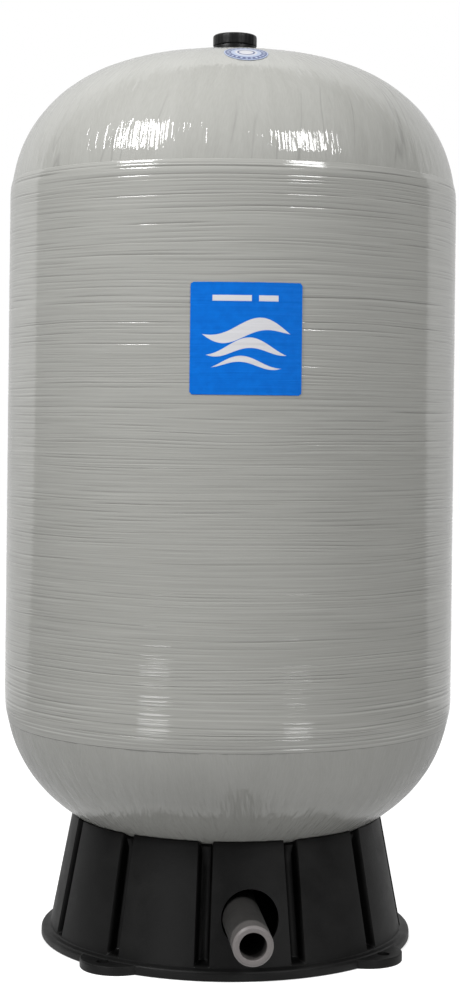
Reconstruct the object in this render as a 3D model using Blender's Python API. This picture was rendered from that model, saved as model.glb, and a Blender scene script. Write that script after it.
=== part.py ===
"""Diaphragm pressure tank: a fibreglass-wound vessel on a moulded foot, with its inner parts.

All sizes are in metres, +Z is up. The tank stands on z = 0, its outlet pipe runs towards -Y,
and the origin is the middle of its footprint box. Every piece is turned, lofted or swept about
the tank's own axis, which stands at x = 0, y = AXIS_Y.
"""
import math

import bmesh
import bpy
from mathutils import Matrix, Vector

# Clearances
GAP = 0.0003
SEAT_GAP = 0.0004
SNAP_DISTANCE = 1e-7

# Wound vessel
TANK_RADIUS = 0.2032
HOOP_RISE = 0.0009
STRIP_TAPER = 0.0005
STRIP_EDGE = 0.0010
STRIP_COUNT = 12
STRIP_UNEVENNESS = 0.3
STRIP_SWING = 2.4
STRIP_PHASE = 0.7
UPPER_SPRING_Z = 0.6639
UPPER_DOME_HEIGHT = 0.1357
UPPER_DOME_SHAPE = (2.86, 2.0)
LOWER_SPRING_Z = 0.2233
LOWER_DOME_HEIGHT = 0.1446
LOWER_DOME_SHAPE = (2.36, 2.12)
HOOP_TOP_Z = 0.6813
HOOP_BOTTOM_Z = 0.1953
SHELL_WALL = 0.0035
LINER_WALL = 0.0045
TANK_SEGMENTS = 32
SHELL_DOME_STEPS = 7
INNER_DOME_STEPS = 4
DOME_END_SHARE = 0.97

# Liner joint, diaphragm and its clench ring
JOINT_Z = 0.440
LAP_HEIGHT = 0.008
BEAD_DROP = 0.016
BEAD_HEIGHT = 0.012
BEAD_GROOVE_DEPTH = 0.0020
BEAD_THICKNESS = 0.0050
DIAPHRAGM_WALL = 0.0020
CLENCH_RING_WALL = 0.0025
CLENCH_RING_LIP = 0.0020

# Water port under the tank
PORT_SEAT_RADIUS = 0.041
PORT_FLANGE_RADIUS = 0.038
PORT_FLANGE_THICKNESS = 0.005
PORT_SHANK_RADIUS = 0.0205
PORT_SOCKET_RADIUS = 0.0160
PORT_SOCKET_DEPTH = 0.0200
PORT_BORE_RADIUS = 0.0115
PORT_NUT_RADIUS = 0.031
PORT_NUT_HEIGHT = 0.0085
PORT_NUT_FLATS = 8
NUT_FLAT_STEPS = 3
PORT_SEAL_RADIUS = 0.0290
PORT_SEAL_SECTION = 0.0015
DIFFUSER_RADIUS = 0.047
DIFFUSER_HEIGHT = 0.021
DIFFUSER_WALL = 0.0020
DIFFUSER_CREST = 0.45
DIFFUSER_SHOULDER = 0.88
DIFFUSER_SLOTS = 8
DIFFUSER_SLOT_WIDTH = 0.0050
DIFFUSER_MARGIN = 0.0040

# Outlet pipe and elbow
PIPE_REACH = 0.2375
PIPE_RADIUS = 0.0167
PIPE_BORE_RADIUS = 0.01125
PIPE_CHAMFER = 0.0016
PIPE_CHAMFER_LENGTH = 0.0024
PIPE_Z = 0.048
ELBOW_RADIUS = 0.0208
ELBOW_BEND_RADIUS = 0.0215
ELBOW_SOCKET_DEPTH = 0.0220
ELBOW_LEG = 0.0500
ELBOW_BEND_STEPS = 4

# Moulded base
BASE_TURN = math.radians(2.5)
WALL_FOOT_RADIUS = 0.1615
WALL_TAPER = 0.01915
WALL_TAPER_HEIGHT = 0.1
BASE_WALL = 0.0040
RIM_RADIUS = 0.1395
RIM_BEVEL = 0.0009
LEDGE_RADIUS = 0.1290
FLANGE_RADIUS = 0.1676
FLANGE_HEIGHT = 0.0086
FLANGE_EDGE = 0.0030
FOOT_REACH = 0.0021
GROOVE_COUNT = 12
GROOVE_WIDTH = 0.0128
GROOVE_DEPTH = 0.0060
GROOVE_FLOOR_SHARE = 0.7
GROOVE_END = 0.0055
GROOVE_LIP = 0.0014
PANEL_STEPS = 3
LUG_COUNT = 4
LUG_PAD_RADIUS = 0.032
LUG_REACH = 0.1850
LUG_HEIGHT = 0.0078
LUG_ARC_STEPS = 12
LUG_ROOT_STEPS = 4
BOLT_CIRCLE_RADIUS = 0.1718
BOLT_HOLE_RADIUS = 0.0055
PIPE_HOLE_RADIUS = 0.0245
CUT_OVERRUN = 0.0120

# Air fitting at the crown
AIR_SEAT_RADIUS = 0.030
AIR_FLANGE_RADIUS = 0.026
AIR_FLANGE_THICKNESS = 0.0050
AIR_SHANK_RADIUS = 0.0140
AIR_SHANK_RISE = 0.0164
AIR_WELL_RADIUS = 0.0095
AIR_WELL_DEPTH = 0.0190
AIR_SEAL_RADIUS = 0.0200
AIR_SEAL_SECTION = 0.0012
COLLAR_RADIUS = 0.0197
COLLAR_HEIGHT = 0.0100
COLLAR_EDGE = 0.0007
COVER_RADIUS = 0.0200
COVER_TOP_THICKNESS = 0.0024
COVER_EDGE = 0.0022
COVER_FLUTES = 20
COVER_FLUTE_DEPTH = 0.0005
COVER_SEAL_THICKNESS = 0.0012
COVER_SEAL_WIDTH = 0.0036

# Brass valve stem, its sealing cap and its core
STEM_RADIUS = 0.00385
STEM_RISE = 0.0085
STEM_SHOULDER_RADIUS = 0.0062
STEM_SHOULDER_HEIGHT = 0.0030
STEM_TAIL_RADIUS = 0.0046
STEM_TAIL_LENGTH = 0.0150
STEM_BORE_RADIUS = 0.0026
STEM_THROAT_RADIUS = 0.0019
STEM_TAIL_BORE_RADIUS = 0.0012
STEM_BORE_DEPTH = 0.0083
STEM_THROAT_DEPTH = 0.0180
STEM_GROOVE_DEPTH = 0.0014
STEM_GROOVE_HEIGHT = 0.0022
STEM_GROOVE_DROP = 0.0040
STEM_SEAL_SECTION = 0.00075
VALVE_CAP_RADIUS = 0.0056
VALVE_CAP_TOP = 0.0015
VALVE_CAP_SEAL_THICKNESS = 0.0008
BARREL_RADIUS = 0.0023
BARREL_TOP_DROP = 0.0007
BARREL_LENGTH = 0.0063
BARREL_LIP_RADIUS = 0.00095
BARREL_LIP_HEIGHT = 0.0010
BARREL_CHAMBER_RADIUS = 0.0017
BARREL_SEAL_HEIGHT = 0.0008
BARREL_SEAL_BORE = 0.0016
PIN_RADIUS = 0.00055
PIN_FLANGE_RADIUS = 0.00135
PIN_FLANGE_HEIGHT = 0.0005
PIN_TOP_DROP = 0.0003
PIN_FOOT_HEIGHT = 0.0006
CUP_SEAL_HEIGHT = 0.0006
SPRING_WIRE_RADIUS = 0.00015
SPRING_RADIUS = 0.00105
SPRING_TURNS = 4

# Labels
LABEL_WIDTH = 0.0925
LABEL_HEIGHT = 0.0920
LABEL_CORNER = 0.0040
LABEL_THICKNESS = 0.0003
LABEL_CLEARANCE = 0.0001
LABEL_CORNER_STEPS = 4
LABEL_BENDS = 8
LABEL_CENTRE_Z = 0.5345
LABEL_TURN = math.radians(-2.1)
TOP_LABEL_RADIUS = 0.0190
TOP_LABEL_DISTANCE = 0.1230
TOP_LABEL_TURN = math.radians(-1.0)
TOP_LABEL_SHARES = (0.3, 0.65, 1.0)

# Facets of the small turned pieces
FITTING_SEGMENTS = 20
HOLE_SEGMENTS = 28
VALVE_SEGMENTS = 12
CORE_SEGMENTS = 8
RING_SECTION_STEPS = 5

# Worked out from the sizes above
AXIS_Y = (PIPE_REACH - TANK_RADIUS) / 2
DOME_RADIUS = TANK_RADIUS - HOOP_RISE
LINER_INSET = SHELL_WALL + GAP
CAVITY_INSET = LINER_INSET + LINER_WALL
LINER_RADIUS = DOME_RADIUS - LINER_INSET
CAVITY_RADIUS = DOME_RADIUS - CAVITY_INSET
FLOOR_STOP = DIFFUSER_RADIUS + DIAPHRAGM_WALL + DIFFUSER_MARGIN
FRONT = -math.pi / 2


def dome_rise(radius, height, shape):
    """Height of a dome above its spring line at a radius: a flattened ellipse."""
    share = min(radius / DOME_RADIUS, 1.0)
    return height * (1.0 - share ** shape[0]) ** (1.0 / shape[1])


def underside_z(radius):
    """Height of the tank's lower dome at a radius."""
    flat = max(radius, PORT_SEAT_RADIUS)
    return LOWER_SPRING_Z - dome_rise(flat, LOWER_DOME_HEIGHT, LOWER_DOME_SHAPE)


def crown_z(radius):
    """Height of the tank's upper dome at a radius."""
    flat = max(radius, AIR_SEAT_RADIUS)
    return UPPER_SPRING_Z + dome_rise(flat, UPPER_DOME_HEIGHT, UPPER_DOME_SHAPE)


def dome_points(height, shape, inset, steps, stops):
    """Points (radius, rise) of a dome inset along its normals, from the spring line inwards.

    The stops are radii where the outline needs a point; it ends at the smallest.
    """
    last = math.acos((min(stops) / DOME_RADIUS) ** (shape[0] / 2.0))
    turns = [math.pi / 2 * step / steps for step in range(steps)]
    turns = [turn for turn in turns if turn < last * DOME_END_SHARE]
    turns += [math.acos((stop / DOME_RADIUS) ** (shape[0] / 2.0)) for stop in stops]
    points = []
    for turn in sorted(turns):
        share = math.cos(turn) ** (2.0 / shape[0])
        rise_share = math.sin(turn) ** (2.0 / shape[1])
        normal = Vector((
            shape[0] * share ** (shape[0] - 1.0) / DOME_RADIUS,
            shape[1] * rise_share ** (shape[1] - 1.0) / height,
        )).normalized()
        points.append((
            DOME_RADIUS * share - inset * normal.x, height * rise_share - inset * normal.y
        ))
    return points


def upper_points(inset, steps, hole_radius=None):
    """Upper half of the tank's meridian, from its spring line up to the seat at the crown.

    With a hole's radius, the outline goes on over the flat seat to the hole.
    """
    outline = dome_points(UPPER_DOME_HEIGHT, UPPER_DOME_SHAPE, inset, steps, (AIR_SEAT_RADIUS,))
    points = [(r, UPPER_SPRING_Z + rise) for r, rise in outline]
    if hole_radius is not None:
        points.append((hole_radius, points[-1][1]))
    return points


def lower_points(inset, steps, hole_radius=None, stops=()):
    """Lower half of the tank's meridian, from the seat at the bottom up to the spring line."""
    every = (*stops, PORT_SEAT_RADIUS)
    outline = dome_points(LOWER_DOME_HEIGHT, LOWER_DOME_SHAPE, inset, steps, every)
    points = [(r, LOWER_SPRING_Z - rise) for r, rise in outline]
    if hole_radius is not None:
        points.append((hole_radius, points[-1][1]))
    return points[::-1]


def make_material(name, colour, roughness, metallic=0.0):
    """A plain Principled surface in the piece's own colour."""
    material = bpy.data.materials.new(name)
    material.use_nodes = True
    shader = material.node_tree.nodes["Principled BSDF"]
    shader.inputs["Base Color"].default_value = (*colour, 1.0)
    shader.inputs["Roughness"].default_value = roughness
    shader.inputs["Metallic"].default_value = metallic
    material.diffuse_color = (*colour, 1.0)
    return material


def add_object(name, bm, material, sharp_angle=32.0):
    """Put a finished bmesh on the tank's axis as a named, smooth-shaded object."""
    bmesh.ops.recalc_face_normals(bm, faces=bm.faces)
    mesh = bpy.data.meshes.new(name)
    bm.to_mesh(mesh)
    bm.free()
    mesh.shade_smooth()
    mesh.set_sharp_from_angle(angle=math.radians(sharp_angle))
    if material is not None:
        mesh.materials.append(material)
    piece = bpy.data.objects.new(name, mesh)
    piece.location = (0.0, AXIS_Y, 0.0)
    bpy.context.scene.collection.objects.link(piece)
    return piece


def skin(bm, rings, closed):
    """Skin a run of equal rings with quads; close the run into a loop, or cap both ends."""
    rows = [[bm.verts.new(point) for point in ring] for ring in rings]
    count = len(rows[0])
    pairs = list(zip(rows, rows[1:]))
    if closed:
        pairs.append((rows[-1], rows[0]))
    for low, high in pairs:
        for i in range(count):
            j = (i + 1) % count
            bm.faces.new((low[i], low[j], high[j], high[i]))
    if not closed:
        bm.faces.new(rows[0])
        bm.faces.new(rows[-1])


def circle(radius, z, segments, centre=(0.0, 0.0)):
    """Points of a level circle."""
    step = 2 * math.pi / segments
    return [
        Vector((centre[0] + radius * math.cos(i * step), centre[1] + radius * math.sin(i * step), z))
        for i in range(segments)
    ]


def turned(name, profile, segments, material, hollow=True):
    """Turn a (radius, z) profile about the tank's axis.

    A hollow profile is a loop that stays clear of the axis. A solid one runs from the centre
    of its first ring to the centre of its last, and both ends are flat.
    """
    bm = bmesh.new()
    skin(bm, [circle(r, z, segments) for r, z in profile], closed=hollow)
    return add_object(name, bm, material)


def seal_ring(name, radius, section, z, segments, material):
    """An O-ring: a circle of round section about the tank's axis."""
    step = 2 * math.pi / RING_SECTION_STEPS
    profile = [
        (radius + section * math.cos(i * step), z + section * math.sin(i * step))
        for i in range(RING_SECTION_STEPS)
    ]
    return turned(name, profile, segments, material)


def swept(name, stations, segments, material):
    """Sweep a circle through stations (centre, axis, radius), out one side and back inside."""
    bm = bmesh.new()
    rings = []
    side = Vector((1.0, 0.0, 0.0))
    for centre, axis, radius in stations:
        up = axis.cross(side)
        ring = []
        for i in range(segments):
            turn = 2 * math.pi * i / segments
            ring.append(centre + radius * (math.cos(turn) * side + math.sin(turn) * up))
        rings.append(ring)
    skin(bm, rings, closed=True)
    return add_object(name, bm, material)


def as_cutter(piece):
    """Keep a Boolean operand out of the model's own pieces."""
    piece.hide_render = True
    piece.display_type = "WIRE"
    return piece


def add_boolean(piece, operand, operation):
    """Join or cut a piece with an operand."""
    modifier = piece.modifiers.new(operand.name, "BOOLEAN")
    modifier.operation = operation
    modifier.solver = "EXACT"
    modifier.object = operand


def strip_edges():
    """Heights of the hoop strips' edges: the widths swing about their mean, as wound by hand."""
    swings = [math.sin(STRIP_SWING * i + STRIP_PHASE) for i in range(STRIP_COUNT)]
    widths = [1.0 + STRIP_UNEVENNESS * swing for swing in swings]
    scale = (HOOP_TOP_Z - HOOP_BOTTOM_Z) / sum(widths)
    edges = [HOOP_BOTTOM_Z]
    for width in widths:
        edges.append(edges[-1] + width * scale)
    return edges


def dome_radius_at(z):
    """Radius of the bare tank at a height, where the hoop strips lie."""
    if z > UPPER_SPRING_Z:
        height, shape, rise = UPPER_DOME_HEIGHT, UPPER_DOME_SHAPE, z - UPPER_SPRING_Z
    elif z < LOWER_SPRING_Z:
        height, shape, rise = LOWER_DOME_HEIGHT, LOWER_DOME_SHAPE, LOWER_SPRING_Z - z
    else:
        return DOME_RADIUS
    return DOME_RADIUS * (1.0 - (rise / height) ** shape[1]) ** (1.0 / shape[0])


def hoop_points():
    """Outline of the hoop winding: each strip thins a little towards the next one's edge."""
    edges = strip_edges()
    points = []
    for low, high in zip(edges, edges[1:]):
        points.append((dome_radius_at(low) + HOOP_RISE, low + STRIP_EDGE / 2))
        points.append((dome_radius_at(high) + HOOP_RISE - STRIP_TAPER, high - STRIP_EDGE / 2))
    return [(dome_radius_at(edges[0]), edges[0] - STRIP_EDGE)] + points


def build_wound_shell(material):
    """The one-piece fibreglass shell: two helical domes with the hoop winding between them."""
    air_hole = AIR_SHANK_RADIUS + GAP
    port_hole = PORT_SHANK_RADIUS + GAP
    lower = lower_points(0.0, SHELL_DOME_STEPS, port_hole, stops=(LEDGE_RADIUS, RIM_RADIUS))
    upper = upper_points(0.0, SHELL_DOME_STEPS, air_hole)
    outside = [point for point in lower if point[1] < HOOP_BOTTOM_Z - STRIP_EDGE * 2]
    outside += hoop_points()
    outside += [(dome_radius_at(HOOP_TOP_Z), HOOP_TOP_Z + STRIP_EDGE)]
    outside += [point for point in upper if point[1] > HOOP_TOP_Z + STRIP_EDGE * 2]
    inside = lower_points(SHELL_WALL, INNER_DOME_STEPS, port_hole, stops=(FLOOR_STOP,))
    inside += upper_points(SHELL_WALL, INNER_DOME_STEPS, air_hole)
    return turned("wound_shell", outside + inside[::-1], TANK_SEGMENTS, material)


def build_upper_liner(material):
    """Upper half of the plastic liner, with a spigot that laps into the lower half."""
    hole = AIR_SHANK_RADIUS + GAP
    outside = upper_points(LINER_INSET, INNER_DOME_STEPS, hole)
    inside = upper_points(CAVITY_INSET, INNER_DOME_STEPS, hole)
    spigot = LINER_RADIUS - LINER_WALL / 2 - GAP / 2
    rim = [
        (CAVITY_RADIUS, JOINT_Z - LAP_HEIGHT + GAP),
        (spigot, JOINT_Z - LAP_HEIGHT + GAP),
        (spigot, JOINT_Z + GAP),
        (LINER_RADIUS, JOINT_Z + GAP),
    ]
    return turned("upper_liner", rim + outside + inside[::-1], TANK_SEGMENTS, material)


def build_lower_liner(material):
    """Lower half of the plastic liner, with the lap socket and the diaphragm's bead groove."""
    hole = PORT_SHANK_RADIUS + GAP
    outside = lower_points(LINER_INSET, INNER_DOME_STEPS, hole, stops=(FLOOR_STOP,))
    inside = lower_points(CAVITY_INSET, INNER_DOME_STEPS, hole, stops=(FLOOR_STOP,))
    socket = LINER_RADIUS - LINER_WALL / 2 + GAP / 2
    groove_top = JOINT_Z - BEAD_DROP
    groove_bottom = groove_top - BEAD_HEIGHT
    groove_radius = CAVITY_RADIUS + BEAD_GROOVE_DEPTH
    rim = [
        (LINER_RADIUS, JOINT_Z),
        (socket, JOINT_Z),
        (socket, JOINT_Z - LAP_HEIGHT),
        (CAVITY_RADIUS, JOINT_Z - LAP_HEIGHT),
        (CAVITY_RADIUS, groove_top),
        (groove_radius, groove_top),
        (groove_radius, groove_bottom),
        (CAVITY_RADIUS, groove_bottom),
    ]
    return turned("lower_liner", outside + rim + inside[::-1], TANK_SEGMENTS, material)


def diffuser_foot_z():
    """Foot of the inlet diffuser, on the lower liner's floor."""
    return underside_z(DIFFUSER_RADIUS) + CAVITY_INSET + GAP


def build_diaphragm(material):
    """The rubber diaphragm: a deep cup that the air charge lays on the lower liner."""
    groove_top = JOINT_Z - BEAD_DROP
    groove_bottom = groove_top - BEAD_HEIGHT
    bead_outer = CAVITY_RADIUS + BEAD_GROOVE_DEPTH - GAP
    bead_inner = bead_outer - BEAD_THICKNESS
    outer_inset = CAVITY_INSET + GAP
    inner_inset = outer_inset + DIAPHRAGM_WALL
    crest = DIFFUSER_RADIUS * DIFFUSER_CREST + DIAPHRAGM_WALL
    over = diffuser_foot_z() + DIFFUSER_HEIGHT + GAP
    dome = (LOWER_DOME_HEIGHT, LOWER_DOME_SHAPE)
    outer = dome_points(*dome, outer_inset, INNER_DOME_STEPS, (FLOOR_STOP,))
    inner = dome_points(*dome, inner_inset, INNER_DOME_STEPS, (FLOOR_STOP,))
    outer = [(r, LOWER_SPRING_Z - rise) for r, rise in outer]
    inner = [(r, LOWER_SPRING_Z - rise) for r, rise in inner]
    side = DIFFUSER_RADIUS * DIFFUSER_SHOULDER + DIAPHRAGM_WALL
    side_z = over - DIFFUSER_HEIGHT / 2 + DIAPHRAGM_WALL
    top_side = [
        (crest + DIAPHRAGM_WALL / 2, over + DIAPHRAGM_WALL),
        (side + DIAPHRAGM_WALL, side_z + DIAPHRAGM_WALL),
    ]
    bead = [
        (inner[0][0], groove_bottom - BEAD_THICKNESS),
        (bead_inner, groove_bottom),
        (bead_inner, groove_top - GAP),
        (bead_outer, groove_top - GAP),
        (bead_outer, groove_bottom + GAP),
        (outer[0][0], groove_bottom + GAP),
    ]
    under_side = [(side, side_z), (crest, over)]
    profile = top_side + inner[::-1] + bead + outer + under_side
    return turned("diaphragm", profile, TANK_SEGMENTS, material, hollow=False)


def build_clench_ring(material):
    """The ring that presses the diaphragm's bead into its groove, with a lip over the bead."""
    top = JOINT_Z - BEAD_DROP
    bottom = top - BEAD_HEIGHT
    outer = CAVITY_RADIUS + BEAD_GROOVE_DEPTH - BEAD_THICKNESS - 2 * GAP
    inner = outer - CLENCH_RING_WALL
    lip = CAVITY_RADIUS - GAP
    profile = [
        (inner, bottom),
        (outer, bottom),
        (outer, top),
        (lip, top),
        (lip, top + CLENCH_RING_LIP),
        (inner, top + CLENCH_RING_LIP),
    ]
    return turned("clench_ring", profile, TANK_SEGMENTS, material)


def port_floor_z():
    """Inside floor of the lower liner, where the port fitting's flange seats."""
    return lower_points(CAVITY_INSET, INNER_DOME_STEPS)[0][1]


def port_nut_top_z():
    """Height of the nut's face, just under the tank."""
    return underside_z(PORT_SEAT_RADIUS) - GAP


def build_port_fitting(material):
    """Flanged water fitting: its shank passes down through the liner and the shell."""
    seat = port_floor_z() + GAP
    top = seat + PORT_FLANGE_THICKNESS
    bottom = port_nut_top_z() - PORT_NUT_HEIGHT
    socket_top = bottom + PORT_SOCKET_DEPTH
    groove_half = PORT_SEAL_SECTION + GAP
    groove_depth = 2 * PORT_SEAL_SECTION
    profile = [
        (PORT_SHANK_RADIUS, bottom),
        (PORT_SHANK_RADIUS, seat),
        (PORT_SEAL_RADIUS - groove_half, seat),
        (PORT_SEAL_RADIUS - groove_half, seat + groove_depth),
        (PORT_SEAL_RADIUS + groove_half, seat + groove_depth),
        (PORT_SEAL_RADIUS + groove_half, seat),
        (PORT_FLANGE_RADIUS, seat),
        (PORT_FLANGE_RADIUS, top),
        (PORT_BORE_RADIUS, top),
        (PORT_BORE_RADIUS, socket_top),
        (PORT_SOCKET_RADIUS, socket_top),
        (PORT_SOCKET_RADIUS, bottom),
    ]
    return turned("port_fitting", profile, FITTING_SEGMENTS, material)


def build_port_nut(material):
    """The nut that draws the port fitting down, with flats for a spanner."""
    top = port_nut_top_z()
    bottom = top - PORT_NUT_HEIGHT
    bore = PORT_SHANK_RADIUS + GAP
    bm = bmesh.new()
    flat_rings = [nut_outline(z) for z in (bottom, top)]
    bore_rings = [circle(bore, z, PORT_NUT_FLATS * NUT_FLAT_STEPS) for z in (top, bottom)]
    skin(bm, flat_rings + bore_rings, closed=True)
    return add_object("port_nut", bm, material)


def nut_outline(z):
    """An even polygon with points along each flat, to match the bore's points."""
    points = []
    for i in range(PORT_NUT_FLATS * NUT_FLAT_STEPS):
        turn = 2 * math.pi * i / (PORT_NUT_FLATS * NUT_FLAT_STEPS)
        flat = 2 * math.pi / PORT_NUT_FLATS
        off = (turn % flat) - flat / 2
        radius = PORT_NUT_RADIUS * math.cos(flat / 2) / math.cos(off)
        points.append(Vector((radius * math.cos(turn), radius * math.sin(turn), z)))
    return points


def build_inlet_diffuser(material):
    """Slotted dome over the port, which keeps the diaphragm from closing it."""
    foot = diffuser_foot_z()
    top = foot + DIFFUSER_HEIGHT
    crest = DIFFUSER_RADIUS * DIFFUSER_CREST
    shoulder = DIFFUSER_RADIUS * DIFFUSER_SHOULDER
    inner_foot = DIFFUSER_RADIUS - DIFFUSER_WALL
    profile = [
        (crest - DIFFUSER_WALL / 2, top - DIFFUSER_WALL),
        (shoulder - DIFFUSER_WALL, foot + DIFFUSER_HEIGHT / 2),
        (inner_foot, foot),
        (DIFFUSER_RADIUS, foot),
        (shoulder, foot + DIFFUSER_HEIGHT / 2),
        (crest, top),
    ]
    diffuser = turned("inlet_diffuser", profile, FITTING_SEGMENTS, material, hollow=False)
    bm = bmesh.new()
    middle = (crest + DIFFUSER_RADIUS) / 2
    for i in range(DIFFUSER_SLOTS):
        turn = Matrix.Rotation(2 * math.pi * (i + 0.5) / DIFFUSER_SLOTS, 4, "Z")
        place = Matrix.Translation((middle, 0.0, foot + DIFFUSER_HEIGHT / 2))
        size = Matrix.Diagonal((DIFFUSER_RADIUS / 2, DIFFUSER_SLOT_WIDTH, DIFFUSER_HEIGHT / 2, 1.0))
        bmesh.ops.create_cube(bm, size=1.0, matrix=turn @ place @ size)
    slots = as_cutter(add_object("diffuser_slots", bm, None))
    add_boolean(diffuser, slots, "DIFFERENCE")
    return diffuser


def build_outlet_elbow(material):
    """Elbow from the port fitting's socket down and round to the outlet pipe."""
    up = Vector((0.0, 0.0, 1.0))
    out = Vector((0.0, -1.0, 0.0))
    shoulder = port_nut_top_z() - PORT_NUT_HEIGHT - GAP
    top = shoulder + PORT_SOCKET_DEPTH - GAP
    spigot = PORT_SOCKET_RADIUS - GAP
    bend_centre = Vector((0.0, -ELBOW_BEND_RADIUS, PIPE_Z + ELBOW_BEND_RADIUS))
    bend = []
    for step in range(ELBOW_BEND_STEPS + 1):
        turn = math.pi / 2 * step / ELBOW_BEND_STEPS
        offset = Vector((0.0, math.cos(turn), -math.sin(turn))) * ELBOW_BEND_RADIUS
        axis = Vector((0.0, -math.sin(turn), -math.cos(turn)))
        bend.append((bend_centre + offset, axis))
    mouth = Vector((0.0, -ELBOW_LEG, PIPE_Z))
    socket = mouth - out * ELBOW_SOCKET_DEPTH
    down = -up
    stations = [
        (up * top, down, spigot),
        (up * shoulder, down, spigot),
        (up * shoulder, down, ELBOW_RADIUS),
    ]
    stations += [(centre, axis, ELBOW_RADIUS) for centre, axis in bend[1:]]
    stations += [
        (mouth, out, ELBOW_RADIUS),
        (mouth, out, PIPE_RADIUS + GAP),
        (socket, out, PIPE_RADIUS + GAP),
        (socket, out, PIPE_BORE_RADIUS),
    ]
    stations += [(centre, axis, PIPE_BORE_RADIUS) for centre, axis in bend[:0:-1]]
    stations.append((up * top, down, PIPE_BORE_RADIUS))
    return swept("outlet_elbow", stations, FITTING_SEGMENTS, material)


def build_outlet_pipe(material):
    """Plain pipe from the elbow's socket out through the base, chamfered at its end."""
    out = Vector((0.0, -1.0, 0.0))
    inner_end = ELBOW_LEG - ELBOW_SOCKET_DEPTH + GAP
    stations = [
        (inner_end, PIPE_RADIUS),
        (PIPE_REACH - PIPE_CHAMFER_LENGTH, PIPE_RADIUS),
        (PIPE_REACH, PIPE_RADIUS - PIPE_CHAMFER),
        (PIPE_REACH, PIPE_BORE_RADIUS),
        (inner_end, PIPE_BORE_RADIUS),
    ]
    along = [(Vector((0.0, -reach, PIPE_Z)), out, radius) for reach, radius in stations]
    return swept("outlet_pipe", along, FITTING_SEGMENTS, material)


def wall_radius(z):
    """Outside radius of the base's tapered wall at a height."""
    return WALL_FOOT_RADIUS - WALL_TAPER * z / WALL_TAPER_HEIGHT


def base_ring(radius, depth, height):
    """One level outline of the base, with its channels pressed in by a depth.

    The height is a number, or a function of the radius where the ring lies on the tank.
    """
    pitch = 2 * math.pi / GROOVE_COUNT
    edge = GROOVE_WIDTH / 2
    floor = edge * GROOVE_FLOOR_SHARE
    channel = ((-edge, 0.0), (-floor, 1.0), (floor, 1.0), (edge, 0.0))
    points = []
    for i in range(GROOVE_COUNT):
        middle = FRONT + BASE_TURN + (i + 0.5) * pitch
        turns = [(middle + offset / radius, share) for offset, share in channel]
        start = turns[-1][0]
        panel = pitch - GROOVE_WIDTH / radius
        turns += [(start + panel * step / PANEL_STEPS, 0.0) for step in range(1, PANEL_STEPS)]
        for turn, share in turns:
            local = radius - depth * share
            z = height(local) if callable(height) else height
            points.append(Vector((local * math.cos(turn), local * math.sin(turn), z)))
    return points


def build_base_stand(material):
    """The moulded foot: a tapered, channelled wall, a seat for the tank and a bolt-down flange."""
    def seat_z(radius):
        return underside_z(radius) - SEAT_GAP

    def ledge_z(radius):
        return seat_z(radius) - BASE_WALL

    corner_z = seat_z(RIM_RADIUS) - RIM_BEVEL
    corner_radius = wall_radius(corner_z)

    def corner_height(radius):
        return seat_z(radius - corner_radius + RIM_RADIUS) - RIM_BEVEL

    groove_low = FLANGE_HEIGHT + RIM_BEVEL
    groove_half = groove_low + GROOVE_LIP
    groove_full = groove_low + GROOVE_END
    inner_top = ledge_z(LEDGE_RADIUS + BASE_WALL)
    wall = BASE_WALL
    rings = [
        base_ring(LEDGE_RADIUS, 0.0, seat_z),
        base_ring(RIM_RADIUS, GROOVE_DEPTH, seat_z),
        base_ring(corner_radius, GROOVE_DEPTH, corner_height),
        base_ring(wall_radius(groove_full), GROOVE_DEPTH, groove_full),
        base_ring(wall_radius(groove_half), GROOVE_DEPTH / 2, groove_half),
        base_ring(wall_radius(groove_low) + FOOT_REACH / 2, 0.0, groove_low),
        base_ring(wall_radius(FLANGE_HEIGHT) + FOOT_REACH, 0.0, FLANGE_HEIGHT),
        base_ring(FLANGE_RADIUS - FLANGE_EDGE, 0.0, FLANGE_HEIGHT),
        base_ring(FLANGE_RADIUS, 0.0, FLANGE_HEIGHT - FLANGE_EDGE),
        base_ring(FLANGE_RADIUS, 0.0, 0.0),
        base_ring(wall_radius(0.0) - wall, 0.0, 0.0),
        base_ring(wall_radius(groove_low) - wall, 0.0, groove_low),
        base_ring(wall_radius(groove_full) - wall, GROOVE_DEPTH, groove_full),
        base_ring(wall_radius(inner_top) - wall, GROOVE_DEPTH, inner_top),
        base_ring(LEDGE_RADIUS, 0.0, ledge_z),
    ]
    bm = bmesh.new()
    skin(bm, rings, closed=True)
    base = add_object("base_stand", bm, material)
    add_boolean(base, build_lug_pads(), "UNION")
    add_boolean(base, build_bolt_holes(), "DIFFERENCE")
    add_boolean(base, build_pipe_hole(), "DIFFERENCE")
    return base


def lug_turns():
    """Directions of the bolt lugs, midway between the pipe hole and the sides."""
    step = 2 * math.pi / LUG_COUNT
    return [FRONT + BASE_TURN + (i + 0.5) * step for i in range(LUG_COUNT)]


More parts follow.
